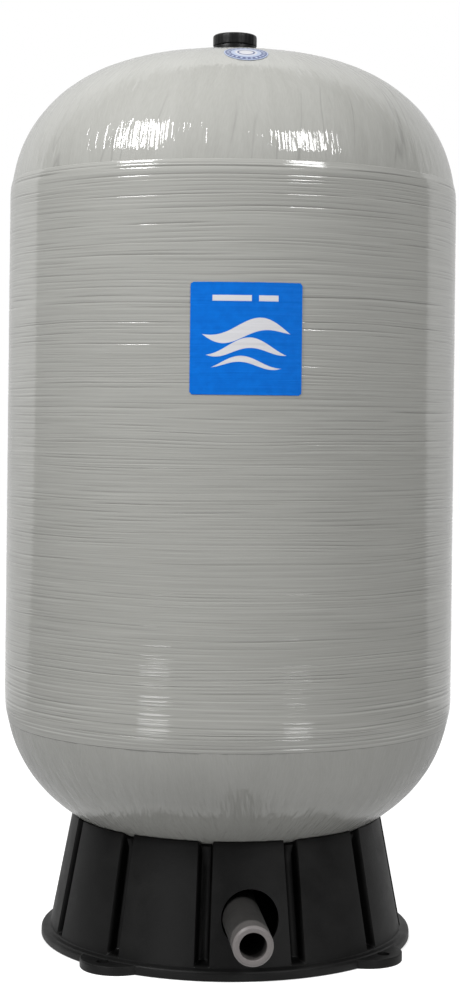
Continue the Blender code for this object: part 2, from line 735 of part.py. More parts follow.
def build_lug_pads():
    """Rounded pads that widen the flange round each bolt hole."""
    bm = bmesh.new()
    centre = LUG_REACH - LUG_PAD_RADIUS
    root = (wall_radius(0.0) + FLANGE_RADIUS) / 2
    cosine = (centre ** 2 + root ** 2 - LUG_PAD_RADIUS ** 2) / (2 * centre * root)
    half = math.acos(cosine)
    for turn in lug_turns():
        start = math.atan2(root * math.sin(half), root * math.cos(half) - centre)
        outline = []
        for i in range(LUG_ARC_STEPS + 1):
            angle = -start + 2 * start * i / LUG_ARC_STEPS
            x = centre + LUG_PAD_RADIUS * math.cos(angle)
            outline.append(Vector((x, LUG_PAD_RADIUS * math.sin(angle), 0.0)))
        for i in range(1, LUG_ROOT_STEPS):
            angle = half - 2 * half * i / LUG_ROOT_STEPS
            outline.append(Vector((root * math.cos(angle), root * math.sin(angle), 0.0)))
        spin = Matrix.Rotation(turn, 4, "Z")
        low = [spin @ point for point in outline]
        high = [point + Vector((0.0, 0.0, LUG_HEIGHT)) for point in low]
        skin(bm, [low, high], closed=False)
    return as_cutter(add_object("lug_pads", bm, None))


def build_bolt_holes():
    """Cutter for the bolt holes through the lugs."""
    bm = bmesh.new()
    for turn in lug_turns():
        x = BOLT_CIRCLE_RADIUS * math.cos(turn)
        y = BOLT_CIRCLE_RADIUS * math.sin(turn)
        low = circle(BOLT_HOLE_RADIUS, -CUT_OVERRUN, VALVE_SEGMENTS, (x, y))
        high = circle(BOLT_HOLE_RADIUS, LUG_HEIGHT + CUT_OVERRUN, VALVE_SEGMENTS, (x, y))
        skin(bm, [low, high], closed=False)
    return as_cutter(add_object("bolt_holes", bm, None))


def build_pipe_hole():
    """Cutter for the round hole that the outlet pipe leaves the base through."""
    out = Vector((math.cos(FRONT + BASE_TURN), math.sin(FRONT + BASE_TURN), 0.0))
    side = Vector((-out.y, out.x, 0.0))
    up = Vector((0.0, 0.0, 1.0))
    rings = []
    for reach in (LEDGE_RADIUS, FLANGE_RADIUS + CUT_OVERRUN):
        centre = out * reach + up * PIPE_Z
        ring = []
        for i in range(HOLE_SEGMENTS):
            turn = 2 * math.pi * i / HOLE_SEGMENTS
            ring.append(centre + PIPE_HOLE_RADIUS * (math.cos(turn) * side + math.sin(turn) * up))
        rings.append(ring)
    bm = bmesh.new()
    skin(bm, rings, closed=False)
    return as_cutter(add_object("pipe_hole", bm, None))


def air_ceiling_z():
    """Inside of the upper liner, where the air fitting's flange seats."""
    return upper_points(CAVITY_INSET, INNER_DOME_STEPS)[-1][1]


def air_shank_top_z():
    """Top face of the air fitting's shank, above the tank."""
    return crown_z(AIR_SEAT_RADIUS) + AIR_SHANK_RISE


def well_floor_z():
    """Floor of the well in the air fitting, which the valve stem's shoulder rests on."""
    return air_shank_top_z() - AIR_WELL_DEPTH


def build_air_fitting(material):
    """Flanged air fitting: its shank rises through the crown and holds the valve in a well."""
    seat = air_ceiling_z() - GAP
    bottom = seat - AIR_FLANGE_THICKNESS
    groove_half = AIR_SEAL_SECTION + GAP
    groove_depth = 2 * AIR_SEAL_SECTION
    bore = STEM_TAIL_RADIUS + GAP
    profile = [
        (bore, bottom),
        (AIR_FLANGE_RADIUS, bottom),
        (AIR_FLANGE_RADIUS, seat),
        (AIR_SEAL_RADIUS + groove_half, seat),
        (AIR_SEAL_RADIUS + groove_half, seat - groove_depth),
        (AIR_SEAL_RADIUS - groove_half, seat - groove_depth),
        (AIR_SEAL_RADIUS - groove_half, seat),
        (AIR_SHANK_RADIUS, seat),
        (AIR_SHANK_RADIUS, air_shank_top_z()),
        (AIR_WELL_RADIUS, air_shank_top_z()),
        (AIR_WELL_RADIUS, well_floor_z()),
        (bore, well_floor_z()),
    ]
    return turned("air_fitting", profile, FITTING_SEGMENTS, material)


def build_clamp_collar(material):
    """The round collar on the crown that clamps the air fitting from outside."""
    low = crown_z(AIR_SEAT_RADIUS) + GAP
    high = low + COLLAR_HEIGHT
    bore = AIR_SHANK_RADIUS + GAP
    profile = [
        (bore, low),
        (COLLAR_RADIUS, low),
        (COLLAR_RADIUS, high - COLLAR_EDGE),
        (COLLAR_RADIUS - COLLAR_EDGE, high),
        (bore, high),
    ]
    return turned("clamp_collar", profile, TANK_SEGMENTS, material)


def build_valve_cover(material):
    """The black screw cover over the valve, with grip flutes round its side."""
    bottom = crown_z(AIR_SEAT_RADIUS) + COLLAR_HEIGHT + 2 * GAP
    ceiling = air_shank_top_z() + COVER_SEAL_THICKNESS + 2 * GAP
    top = ceiling + COVER_TOP_THICKNESS
    bore = AIR_SHANK_RADIUS + GAP
    count = COVER_FLUTES * 2
    rounding = COVER_EDGE * (1.0 - math.cos(math.pi / 4))

    def fluted(z):
        """A level outline whose every second point lies in a flute."""
        ring = circle(COVER_RADIUS, z, count)
        for point in ring[1::2]:
            point.xy *= 1.0 - COVER_FLUTE_DEPTH / COVER_RADIUS
        return ring

    rings = [
        circle(bore, ceiling, count),
        circle(bore, bottom, count),
        fluted(bottom),
        fluted(top - COVER_EDGE),
        circle(COVER_RADIUS - rounding, top - rounding, count),
        circle(COVER_RADIUS - COVER_EDGE, top, count),
    ]
    bm = bmesh.new()
    skin(bm, rings, closed=False)
    return add_object("valve_cover", bm, material)


def build_valve_cover_seal(material):
    """Flat ring between the cover's ceiling and the shank's top face."""
    low = air_shank_top_z() + GAP
    high = low + COVER_SEAL_THICKNESS
    outer = AIR_SHANK_RADIUS - GAP
    inner = outer - COVER_SEAL_WIDTH
    profile = [(inner, low), (outer, low), (outer, high), (inner, high)]
    return turned("valve_cover_seal", profile, FITTING_SEGMENTS, material)


def stem_shoulder_z():
    """Underside of the valve stem's shoulder."""
    return well_floor_z() + GAP


def stem_top_z():
    """Mouth of the valve stem."""
    return stem_shoulder_z() + STEM_SHOULDER_HEIGHT + STEM_RISE


def build_valve_stem(material):
    """Brass stem: a threaded nose above its shoulder and a sealed tail through the fitting."""
    shoulder = stem_shoulder_z()
    top = stem_top_z()
    tail = shoulder - STEM_TAIL_LENGTH
    groove_top = shoulder - STEM_GROOVE_DROP
    groove_bottom = groove_top - STEM_GROOVE_HEIGHT
    groove_radius = STEM_TAIL_RADIUS - STEM_GROOVE_DEPTH
    throat = top - STEM_BORE_DEPTH
    tail_bore = top - STEM_THROAT_DEPTH
    profile = [
        (STEM_TAIL_BORE_RADIUS, tail),
        (STEM_TAIL_RADIUS, tail),
        (STEM_TAIL_RADIUS, groove_bottom),
        (groove_radius, groove_bottom),
        (groove_radius, groove_top),
        (STEM_TAIL_RADIUS, groove_top),
        (STEM_TAIL_RADIUS, shoulder),
        (STEM_SHOULDER_RADIUS, shoulder),
        (STEM_SHOULDER_RADIUS, shoulder + STEM_SHOULDER_HEIGHT),
        (STEM_RADIUS, shoulder + STEM_SHOULDER_HEIGHT),
        (STEM_RADIUS, top),
        (STEM_BORE_RADIUS, top),
        (STEM_BORE_RADIUS, throat),
        (STEM_THROAT_RADIUS, throat),
        (STEM_THROAT_RADIUS, tail_bore),
        (STEM_TAIL_BORE_RADIUS, tail_bore),
    ]
    return turned("valve_stem", profile, VALVE_SEGMENTS, material)


def build_stem_seal(material):
    """O-ring in the stem's groove, against the fitting's bore."""
    z = stem_shoulder_z() - STEM_GROOVE_DROP - STEM_GROOVE_HEIGHT / 2
    groove_radius = STEM_TAIL_RADIUS - STEM_GROOVE_DEPTH
    radius = (groove_radius + STEM_TAIL_RADIUS + GAP) / 2
    return seal_ring("valve_stem_o_ring", radius, STEM_SEAL_SECTION, z, VALVE_SEGMENTS, material)


def build_valve_cap(material):
    """Small screw cap on the stem's nose."""
    bottom = stem_shoulder_z() + STEM_SHOULDER_HEIGHT + GAP
    ceiling = stem_top_z() + VALVE_CAP_SEAL_THICKNESS + 2 * GAP
    top = ceiling + VALVE_CAP_TOP
    bore = STEM_RADIUS + GAP
    profile = [
        (bore, ceiling),
        (bore, bottom),
        (VALVE_CAP_RADIUS, bottom),
        (VALVE_CAP_RADIUS, top - VALVE_CAP_TOP / 2),
        (VALVE_CAP_RADIUS - VALVE_CAP_TOP / 2, top),
    ]
    return turned("valve_cap", profile, VALVE_SEGMENTS, material, hollow=False)


def build_valve_cap_seal(material):
    """Flat ring in the cap that seals on the stem's mouth."""
    low = stem_top_z() + GAP
    high = low + VALVE_CAP_SEAL_THICKNESS
    outer = STEM_RADIUS
    inner = PIN_RADIUS * 2
    profile = [(inner, low), (outer, low), (outer, high), (inner, high)]
    return turned("valve_cap_seal", profile, VALVE_SEGMENTS, material)


def barrel_bottom_z():
    """Underside of the core barrel."""
    return stem_top_z() - BARREL_TOP_DROP - BARREL_LENGTH


def build_core_barrel(material):
    """Threaded barrel of the valve core: a spring chamber between two lips."""
    bottom = barrel_bottom_z()
    top = bottom + BARREL_LENGTH
    chamber_low = bottom + BARREL_LIP_HEIGHT
    chamber_high = top - BARREL_LIP_HEIGHT
    profile = [
        (BARREL_LIP_RADIUS, bottom),
        (BARREL_RADIUS, bottom),
        (BARREL_RADIUS, top),
        (BARREL_LIP_RADIUS, top),
        (BARREL_LIP_RADIUS, chamber_high),
        (BARREL_CHAMBER_RADIUS, chamber_high),
        (BARREL_CHAMBER_RADIUS, chamber_low),
        (BARREL_LIP_RADIUS, chamber_low),
    ]
    return turned("core_barrel", profile, VALVE_SEGMENTS, material)


def build_barrel_seal(material):
    """Ring between the barrel and the step in the stem's bore."""
    high = barrel_bottom_z() - GAP
    low = high - BARREL_SEAL_HEIGHT
    outer = STEM_BORE_RADIUS - GAP
    profile = [
        (BARREL_SEAL_BORE, low), (outer, low), (outer, high), (BARREL_SEAL_BORE, high)
    ]
    return turned("core_barrel_seal", profile, VALVE_SEGMENTS, material)


def build_core_pin(material):
    """Core pin: pressed from the top, it carries the cup seal off the barrel's lower lip."""
    foot_top = barrel_bottom_z() - CUP_SEAL_HEIGHT - 2 * GAP
    foot_bottom = foot_top - PIN_FOOT_HEIGHT
    flange_top = barrel_bottom_z() + BARREL_LENGTH - BARREL_LIP_HEIGHT - GAP
    flange_bottom = flange_top - PIN_FLANGE_HEIGHT
    profile = [
        (PIN_FLANGE_RADIUS, foot_bottom),
        (PIN_FLANGE_RADIUS, foot_top),
        (PIN_RADIUS, foot_top),
        (PIN_RADIUS, flange_bottom),
        (PIN_FLANGE_RADIUS, flange_bottom),
        (PIN_FLANGE_RADIUS, flange_top),
        (PIN_RADIUS, flange_top),
        (PIN_RADIUS, stem_top_z() - PIN_TOP_DROP),
    ]
    return turned("core_pin", profile, CORE_SEGMENTS, material, hollow=False)


def build_cup_seal(material):
    """Rubber ring on the pin's foot, which closes the barrel's lower lip."""
    high = barrel_bottom_z() - GAP
    low = high - CUP_SEAL_HEIGHT
    inner = PIN_RADIUS + GAP / 2
    profile = [
        (inner, low), (PIN_FLANGE_RADIUS, low), (PIN_FLANGE_RADIUS, high), (inner, high)
    ]
    return turned("core_cup_seal", profile, CORE_SEGMENTS, material)


def build_core_spring(material):
    """Coil spring that lifts the pin's flange from the barrel's lower lip."""
    low = barrel_bottom_z() + BARREL_LIP_HEIGHT + SPRING_WIRE_RADIUS + GAP / 2
    flange = barrel_bottom_z() + BARREL_LENGTH - BARREL_LIP_HEIGHT - GAP - PIN_FLANGE_HEIGHT
    high = flange - SPRING_WIRE_RADIUS - GAP / 2
    steps = SPRING_TURNS * CORE_SEGMENTS
    rings = []
    for step in range(steps + 1):
        turn = 2 * math.pi * step / CORE_SEGMENTS
        z = low + (high - low) * step / steps
        out = Vector((math.cos(turn), math.sin(turn), 0.0))
        centre = out * SPRING_RADIUS + Vector((0.0, 0.0, z))
        ring = []
        for i in range(RING_SECTION_STEPS):
            section = 2 * math.pi * i / RING_SECTION_STEPS
            lift = Vector((0.0, 0.0, math.sin(section)))
            ring.append(centre + SPRING_WIRE_RADIUS * (math.cos(section) * out + lift))
        rings.append(ring)
    bm = bmesh.new()
    skin(bm, rings, closed=False)
    return add_object("core_spring", bm, material)


def rounded_square():
    """Outline of the front label, flat, anticlockwise from its right side."""
    half_width = LABEL_WIDTH / 2 - LABEL_CORNER
    half_height = LABEL_HEIGHT / 2 - LABEL_CORNER
    points = []
    for i, (x, y) in enumerate(((1, 1), (-1, 1), (-1, -1), (1, -1))):
        for step in range(LABEL_CORNER_STEPS + 1):
            turn = math.pi / 2 * (i + step / LABEL_CORNER_STEPS)
            points.append((
                x * half_width + LABEL_CORNER * math.cos(turn),
                y * half_height + LABEL_CORNER * math.sin(turn),
            ))
    return points


def build_front_label(material):
    """The square label: a flat sheet wrapped round the hoop winding."""
    bm = bmesh.new()
    inner = TANK_RADIUS + LABEL_CLEARANCE
    face = bm.faces.new([bm.verts.new((x, 0.0, y)) for x, y in rounded_square()])
    for bend in range(1, LABEL_BENDS):
        x = LABEL_WIDTH * (bend / LABEL_BENDS - 0.5)
        bmesh.ops.bisect_plane(
            bm, geom=bm.verts[:] + bm.edges[:] + bm.faces[:], dist=SNAP_DISTANCE,
            plane_co=(x, 0.0, 0.0), plane_no=(1.0, 0.0, 0.0),
        )
    sheet = bm.faces[:]
    grown = bmesh.ops.extrude_face_region(bm, geom=sheet)["geom"]
    outer = {vert for vert in grown if isinstance(vert, bmesh.types.BMVert)}
    for vert in bm.verts:
        radius = inner + (LABEL_THICKNESS if vert in outer else 0.0)
        turn = FRONT + LABEL_TURN + vert.co.x / TANK_RADIUS
        vert.co = (radius * math.cos(turn), radius * math.sin(turn), vert.co.z + LABEL_CENTRE_Z)
    return add_object("front_label", bm, material)


def build_top_label(material):
    """The round label on the upper dome, lying along its curve."""
    turn = FRONT + TOP_LABEL_TURN
    centre = Vector((TOP_LABEL_DISTANCE * math.cos(turn), TOP_LABEL_DISTANCE * math.sin(turn)))

    def on_dome(share, angle, lift):
        """A point of the label's disc, laid on the dome and lifted off it."""
        reach = TOP_LABEL_RADIUS * share
        spot = centre + Vector((reach * math.cos(angle), reach * math.sin(angle)))
        return Vector((spot.x, spot.y, crown_z(spot.length) + lift))

    low = LABEL_CLEARANCE
    high = low + LABEL_THICKNESS
    levels = [(share, low) for share in TOP_LABEL_SHARES]
    levels += [(share, high) for share in reversed(TOP_LABEL_SHARES)]
    step = 2 * math.pi / FITTING_SEGMENTS
    rings = []
    for share, lift in levels:
        rings.append([on_dome(share, i * step, lift) for i in range(FITTING_SEGMENTS)])
    bm = bmesh.new()
    skin(bm, rings, closed=False)
    return add_object("top_label", bm, material)


def main():
    """Build every piece, from the outside in."""
    for old in list(bpy.data.objects):
        bpy.data.objects.remove(old, do_unlink=True)

    resin = make_material("grey_resin", (0.50, 0.50, 0.46), 0.28)
    liner = make_material("liner_plastic", (0.78, 0.78, 0.74), 0.45)
    butyl = make_material("butyl_rubber", (0.02, 0.02, 0.02), 0.75)
    seal = make_material("seal_rubber", (0.015, 0.015, 0.015), 0.6)
    black = make_material("black_plastic", (0.022, 0.023, 0.024), 0.42)
    grey = make_material("grey_pvc", (0.17, 0.16, 0.16), 0.5)
    white = make_material("white_plastic", (0.70, 0.70, 0.68), 0.5)
    brass = make_material("brass", (0.55, 0.40, 0.16), 0.3, 1.0)
    steel = make_material("spring_steel", (0.45, 0.45, 0.46), 0.3, 1.0)
    blue = make_material("label_blue", (0.02, 0.17, 0.62), 0.35)
    pale = make_material("label_pale", (0.62, 0.64, 0.72), 0.4)

    build_wound_shell(resin)
    build_upper_liner(liner)
    build_lower_liner(liner)
    build_diaphragm(butyl)
    build_clench_ring(white)

    build_port_fitting(grey)
    port_seal_z = port_floor_z() + GAP + PORT_SEAL_SECTION
    seal_ring(
        "port_o_ring", PORT_SEAL_RADIUS, PORT_SEAL_SECTION, port_seal_z, FITTING_SEGMENTS, seal
    )
    build_port_nut(grey)
    build_inlet_diffuser(white)
    build_outlet_elbow(grey)
    build_outlet_pipe(grey)
    build_base_stand(black)

    build_air_fitting(black)
    air_seal_z = air_ceiling_z() - GAP - AIR_SEAL_SECTION
    seal_ring(
        "air_fitting_o_ring", AIR_SEAL_RADIUS, AIR_SEAL_SECTION, air_seal_z, FITTING_SEGMENTS, seal
    )
    build_clamp_collar(black)
    build_valve_cover(black)
    build_valve_cover_seal(seal)

    build_valve_stem(brass)
    build_stem_seal(seal)
    build_valve_cap(black)
    build_valve_cap_seal(seal)
    build_core_barrel(brass)
    build_barrel_seal(white)
    build_core_pin(brass)
    build_cup_seal(seal)
    build_core_spring(steel)

    build_front_label(blue)
    build_top_label(pale)


main()
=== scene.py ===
# %% [markdown]
# # Dressing a fibreglass pressure tank for a studio photograph
# The frame is the finished CAD model: a wound tank on a moulded foot, with a pipe and an air
# valve. Each step below looks at one part of the real thing, says what makes it look as it
# does, and then makes that shape or finish with arrays of points and shader nodes.

# %% Load the frame
import math

import bpy
import numpy as np
from mathutils import Matrix, Vector


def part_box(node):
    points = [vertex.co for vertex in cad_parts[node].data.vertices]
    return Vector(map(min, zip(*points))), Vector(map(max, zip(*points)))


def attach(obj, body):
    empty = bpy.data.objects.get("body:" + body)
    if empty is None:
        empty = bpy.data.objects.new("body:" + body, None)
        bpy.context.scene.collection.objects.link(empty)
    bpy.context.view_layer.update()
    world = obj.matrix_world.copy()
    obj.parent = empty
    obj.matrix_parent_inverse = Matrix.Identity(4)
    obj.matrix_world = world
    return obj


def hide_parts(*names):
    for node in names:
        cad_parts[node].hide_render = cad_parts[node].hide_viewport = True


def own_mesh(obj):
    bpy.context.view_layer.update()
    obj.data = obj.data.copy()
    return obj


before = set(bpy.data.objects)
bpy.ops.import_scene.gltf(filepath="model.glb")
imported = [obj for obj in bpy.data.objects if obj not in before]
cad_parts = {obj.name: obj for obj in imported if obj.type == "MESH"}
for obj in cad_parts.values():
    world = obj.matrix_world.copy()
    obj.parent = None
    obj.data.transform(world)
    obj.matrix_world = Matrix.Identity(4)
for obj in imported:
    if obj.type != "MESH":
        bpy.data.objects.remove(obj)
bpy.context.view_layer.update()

# %% [markdown]
# ## Measures
# The real tank is wound on a plastic liner, so everything follows one axis. The pieces' own
# boxes give that axis and the main heights, and the few numbers below repeat the curves that
# a box can't give. Angles start at +X, and the tank's front looks towards -Y.

# %% Axis, radii and heights
FRONT = -math.pi / 2
TURN = 2 * math.pi


def box(node):
    """Lowest and highest corner of a CAD node, as arrays."""
    low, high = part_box(node)
    return np.array(low), np.array(high)


def heights(node):
    """Lowest and highest z of a CAD node."""
    return [corner[2] for corner in box(node)]


SHELL_LOW, SHELL_HIGH = box("wound_shell")
AXIS_Y = (SHELL_LOW[1] + SHELL_HIGH[1]) / 2
TANK_RADIUS = SHELL_HIGH[0]
HOOP_RISE = 0.0009
DOME_RADIUS = TANK_RADIUS - HOOP_RISE
UPPER_SPRING_Z, UPPER_HEIGHT, UPPER_SHAPE = 0.6639, 0.1357, (2.86, 2.0)
LOWER_SPRING_Z, LOWER_HEIGHT, LOWER_SHAPE = 0.2233, 0.1446, (2.36, 2.12)
HOOP_BOTTOM_Z, HOOP_TOP_Z = 0.1953, 0.6813
AIR_SEAT_RADIUS, PORT_SEAT_RADIUS = 0.030, 0.041
print("axis y %.5f, tank radius %.4f" % (AXIS_Y, TANK_RADIUS))

# %% [markdown]
# ## From a grid of points to a mesh
# Most of these pieces are one skin: rings of points stacked along an outline. A grid of shape
# (rings, points in a ring, 3) holds them all, so numpy can work out a whole piece at once.
# The ends are closed with a fan or the last ring is joined to the first. The signed volume
# tells whether the faces look outwards, and they are turned if they don't.

# %% Points round the axis


def full_turn(count):
    """Angles of points spaced evenly round a circle."""
    return TURN * np.arange(count) / count


def quarter(steps):
    """Angles from nothing to a quarter turn."""
    return np.linspace(0.0, math.pi / 2, steps)


def unit(values):
    """Values cut to 0 below and 1 above."""
    return np.clip(values, 0.0, 1.0)


def together(*values):
    """Join arrays, once they have one shape, as the numbers of each point."""
    return np.stack(np.broadcast_arrays(*values), axis=-1)


def turned(radius, turn, z):
    """Points at a radius and an angle about the tank's axis, and at a height."""
    return together(radius * np.cos(turn), AXIS_Y + radius * np.sin(turn), z)


def revolve(outline, count):
    """Rings of a (radius, z) outline turned about the tank's axis."""
    radius, height = np.array(outline).T[..., None]
    return turned(radius, full_turn(count), height)


def round_edge(radius, height, edge, steps):
    """Quarter circle of (radius, z) points, from a side up to a flat top."""
    bend = quarter(steps)
    return together(radius - edge * (1 - np.cos(bend)), height - edge * (1 - np.sin(bend)))


def rounded(outline, radius, steps):
    """Closed outline with every corner cut back by a radius and replaced by a smooth bend.

    Each corner becomes a quadratic curve from a point on one side to a point on the other:
    (1-t)^2 a + 2t(1-t) corner + t^2 b. A short side keeps its bends to 45% of its length.
    """
    outline = np.asarray(outline, float)
    ends = []
    for way in (1, -1):
        side = np.roll(outline, way, axis=0) - outline
        length = np.linalg.norm(side, axis=1, keepdims=True)
        ends.append(outline + side / length * np.minimum(radius, 0.45 * length))
    share = np.linspace(0.0, 1.0, steps)[None, :, None]
    bend = (1 - share) ** 2 * ends[0][:, None] + 2 * share * (1 - share) * outline[:, None]
    return (bend + share ** 2 * ends[1][:, None]).reshape(-1, 2)


# %% Skin a grid and place it


def skin(name, grid, loop=True, sharp=None):
    """Closed mesh of a grid of rings.

    Quads join each ring to the next. With loop the last ring joins the first, otherwise a fan
    closes both ends at the mean of their points. Sharp is an angle in degrees for hard edges.
    """
    rings, count = grid.shape[:2]
    points = grid.reshape(-1, 3)
    number = np.arange(rings * count).reshape(rings, count)
    beside = np.roll(number, -1, axis=1)
    above, above_beside = np.roll(number, -1, axis=0), np.roll(beside, -1, axis=0)
    quads = together(number, beside, above_beside, above)
    fans = np.empty((0, 3), int)
    if not loop:
        quads = quads[:-1]
        fans = np.vstack((together(beside[0], number[0], len(points)),
                          together(number[-1], beside[-1], len(points) + 1)))
        points = np.vstack((points, grid[0].mean(axis=0), grid[-1].mean(axis=0)))
    quads = quads.reshape(-1, 4)
    corners = points[np.vstack((quads[:, :3], quads[:, [0, 2, 3]], fans))]
    if np.einsum("ij,ij->", corners[:, 0], np.cross(corners[:, 1], corners[:, 2])) < 0:
        quads, fans = quads[:, ::-1], fans[:, ::-1]
    mesh = bpy.data.meshes.new(name)
    mesh.from_pydata(points.tolist(), [], quads.tolist() + fans.tolist())
    mesh.shade_smooth()
    if sharp is not None:
        mesh.set_sharp_from_angle(angle=math.radians(sharp))
    return mesh


def store(mesh, name, vectors):
    """Keep one vector for each point of a mesh, for its material to read."""
    attribute = mesh.attributes.new(name, "FLOAT_VECTOR", "POINT")
    attribute.data.foreach_set("vector", np.ascontiguousarray(vectors, dtype=np.float32).ravel())


def put(name, data):
    """A new object in the scene."""
    thing = bpy.data.objects.new(name, data)
    bpy.context.scene.collection.objects.link(thing)
    return thing


def place(name, shape, slot, *nodes, body="tank", **skinning):
    """Put a mesh, or a grid once skinned, on a body in place of CAD nodes."""
    mesh = skin(name, shape, **skinning) if isinstance(shape, np.ndarray) else shape
    piece = put(name, mesh)
    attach(piece, body)
    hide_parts(*nodes)
    mesh.calc_loop_triangles()
    print(name, len(mesh.loop_triangles), "triangles")
    return piece


# %% [markdown]
# ## The helical shell
# Under its paint the tank is glass roving, laid from pole to pole at a small angle, so each
# strand of the domes leans about nine degrees and crosses others that lean the other way. The
# meridian is a flattened ellipse, a little squarer above than below. A strand on a turned
# surface keeps radius times the sine of its angle the same, so the angle at any radius is
# asin(r0 / r), and its drift round the tank is the sum of tan(angle) / r along the outline.
# Both drifts and a third, steeper lay are stored on the points, for the material to follow.

# %% The tank's outline


def dome(height, shape, steps):
    """Points (radius, rise) of a dome from its spring line to its pole.

    (radius/R)^p + (rise/height)^q = 1, stepped evenly by the angle t with
    radius = R cos(t)^(2/p) and rise = height sin(t)^(2/q).
    """
    turn = quarter(steps)
    radius = DOME_RADIUS * unit(np.cos(turn)) ** (2 / shape[0])
    return together(radius, height * np.sin(turn) ** (2 / shape[1]))


def bare_radius(z):
    """Radius of the wound tank, without its hoops, at an array of heights."""
    above = unit((z - UPPER_SPRING_Z) / UPPER_HEIGHT)
    below = unit((LOWER_SPRING_Z - z) / LOWER_HEIGHT)
    upper = (1 - above ** UPPER_SHAPE[1]) ** (1 / UPPER_SHAPE[0])
    lower = (1 - below ** LOWER_SHAPE[1]) ** (1 / LOWER_SHAPE[0])
    return DOME_RADIUS * np.minimum(upper, lower)


def dome_rise(radius, height, shape):
    """How far a dome stands off its spring line, (1 - (radius/R)^p)^(1/q) of its height."""
    share = np.minimum(radius / DOME_RADIUS, 1.0) ** shape[0]
    return height * (1 - share) ** (1 / shape[1])


def along(points, count):
    """The same line with a number of points spaced evenly along it."""
    length = np.concatenate(([0.0], np.cumsum(np.linalg.norm(np.diff(points, axis=0), axis=1))))
    even = np.linspace(0.0, length[-1], count)
    return together(*[np.interp(even, length, values) for values in points.T])


DENSE = 4000
HOOP_LAP = 0.004
upper = dome(UPPER_HEIGHT, UPPER_SHAPE, DENSE) + (0.0, UPPER_SPRING_Z)
upper = upper[(upper[:, 1] > HOOP_TOP_Z - HOOP_LAP) & (upper[:, 0] > AIR_SEAT_RADIUS)]
lower = (dome(LOWER_HEIGHT, LOWER_SHAPE, DENSE) * (1, -1) + (0.0, LOWER_SPRING_Z))[::-1]
lower = lower[(lower[:, 1] < HOOP_BOTTOM_Z + HOOP_LAP) & (lower[:, 0] > PORT_SEAT_RADIUS)]
crown_z, underside_z = upper[-1, 1], lower[0, 1]
print("crown %.5f, underside %.5f" % (crown_z, underside_z))

# %% Points of the helical shell
SHELL_COLUMNS, DOME_ROWS, INSIDE_ROWS, SHELL_WALL = 384, 62, 9, 0.0035
BELT_INSET, BELT_GAP = 0.0012, 0.002
SHANK_HOLE, CROWN_FLAT, PORT_HOLE, PORT_FLAT = 0.0143, 0.0215, 0.0208, 0.031
belt_z = np.array([lower[-1, 1] + BELT_GAP, LOWER_SPRING_Z, UPPER_SPRING_Z,
                   upper[0, 1] - BELT_GAP])
belt = together(bare_radius(belt_z) - BELT_INSET, belt_z)
port_flat = [(PORT_HOLE, underside_z), (PORT_FLAT, underside_z)]
crown_flat = [(CROWN_FLAT, crown_z), (SHANK_HOLE, crown_z)]
outside = np.vstack((port_flat, along(lower, DOME_ROWS), belt, along(upper, DOME_ROWS),
                     crown_flat))
lining = np.vstack((along(lower, INSIDE_ROWS)[1:], belt[1:3], along(upper, INSIDE_ROWS)[:-1]))
inside = np.vstack(((PORT_HOLE, underside_z + SHELL_WALL), lining - (SHELL_WALL, 0.0),
                    (SHANK_HOLE, crown_z - SHELL_WALL)))
inside[1:3, 1] += (SHELL_WALL, SHELL_WALL * 0.7)
shell = revolve(np.vstack((outside, inside[::-1])), SHELL_COLUMNS)

# %% Lay of the strands, and the lumps that crossing bands leave
POLE_RADIUS = 0.0285
LUMP_HEIGHT, LUMP_WAVES, LUMP_FADE, LUMP_LIMIT = 0.00022, 110, 0.15, 2.5
LUMPS_FROM, LUMPS_OVER = 0.036, 0.03
TANK_MIDDLE_Z = 0.44


def lay_drift(line):
    """Turn that a strand has drifted at each point of a (radius, z) line."""
    step = np.linalg.norm(np.diff(line, axis=0, prepend=line[:1]), axis=1)
    sine = np.clip(POLE_RADIUS / line[:, 0], 0.0, 0.985)
    slope = sine / np.sqrt(1 - sine ** 2) / line[:, 0]
    return np.cumsum(slope * step)


def smooth_noise(rng, angle, waves, fade):
    """Random periodic function of an angle: a sum of cosines with falling heights."""
    order = np.arange(1, waves + 1)
    height = rng.normal(size=waves) / order ** fade
    phase = rng.uniform(0.0, TURN, waves)
    total = (height * np.cos(np.multiply.outer(angle, order) + phase)).sum(axis=-1)
    return total / np.sqrt((height ** 2).sum() / 2)


rng = np.random.default_rng(11)
belt_start = len(port_flat) + DOME_ROWS
drift = np.zeros((len(shell), 1))
drift[:len(outside), 0] = lay_drift(outside)
drift -= drift[belt_start]
turn = full_turn(SHELL_COLUMNS)
lumps = smooth_noise(rng, turn - drift, LUMP_WAVES, LUMP_FADE)
lumps += smooth_noise(rng, turn + drift, LUMP_WAVES, LUMP_FADE)
radius = np.hypot(shell[..., 0], shell[..., 1] - AXIS_Y)
show = unit((radius - LUMPS_FROM) / LUMPS_OVER)
show[len(outside):] = 0.0
show[belt_start:belt_start + len(belt)] = 0.0
outward = (shell - (0.0, AXIS_Y, 0.0)) / radius[..., None]
outward[..., 2] = 2.4 * unit(1.2 - radius / DOME_RADIUS) * np.sign(shell[..., 2] - TANK_MIDDLE_Z)
outward /= np.linalg.norm(outward, axis=-1, keepdims=True)
depth = np.clip(lumps, -LUMP_LIMIT, LUMP_LIMIT) / LUMP_LIMIT - 1.0
shell += outward * (depth * LUMP_HEIGHT * show)[..., None]

helical_shell = place("helical_shell", shell, "grey_resin", "wound_shell")
for lay_name, lean, along_it in (("right", -1.0, 1.0), ("left", 1.0, 1.0), ("steep", 0.12, 0.45)):
    lay = turn + lean * drift
    store(helical_shell.data, "lay_" + lay_name,
          together(np.cos(lay), np.sin(lay), along_it * drift))

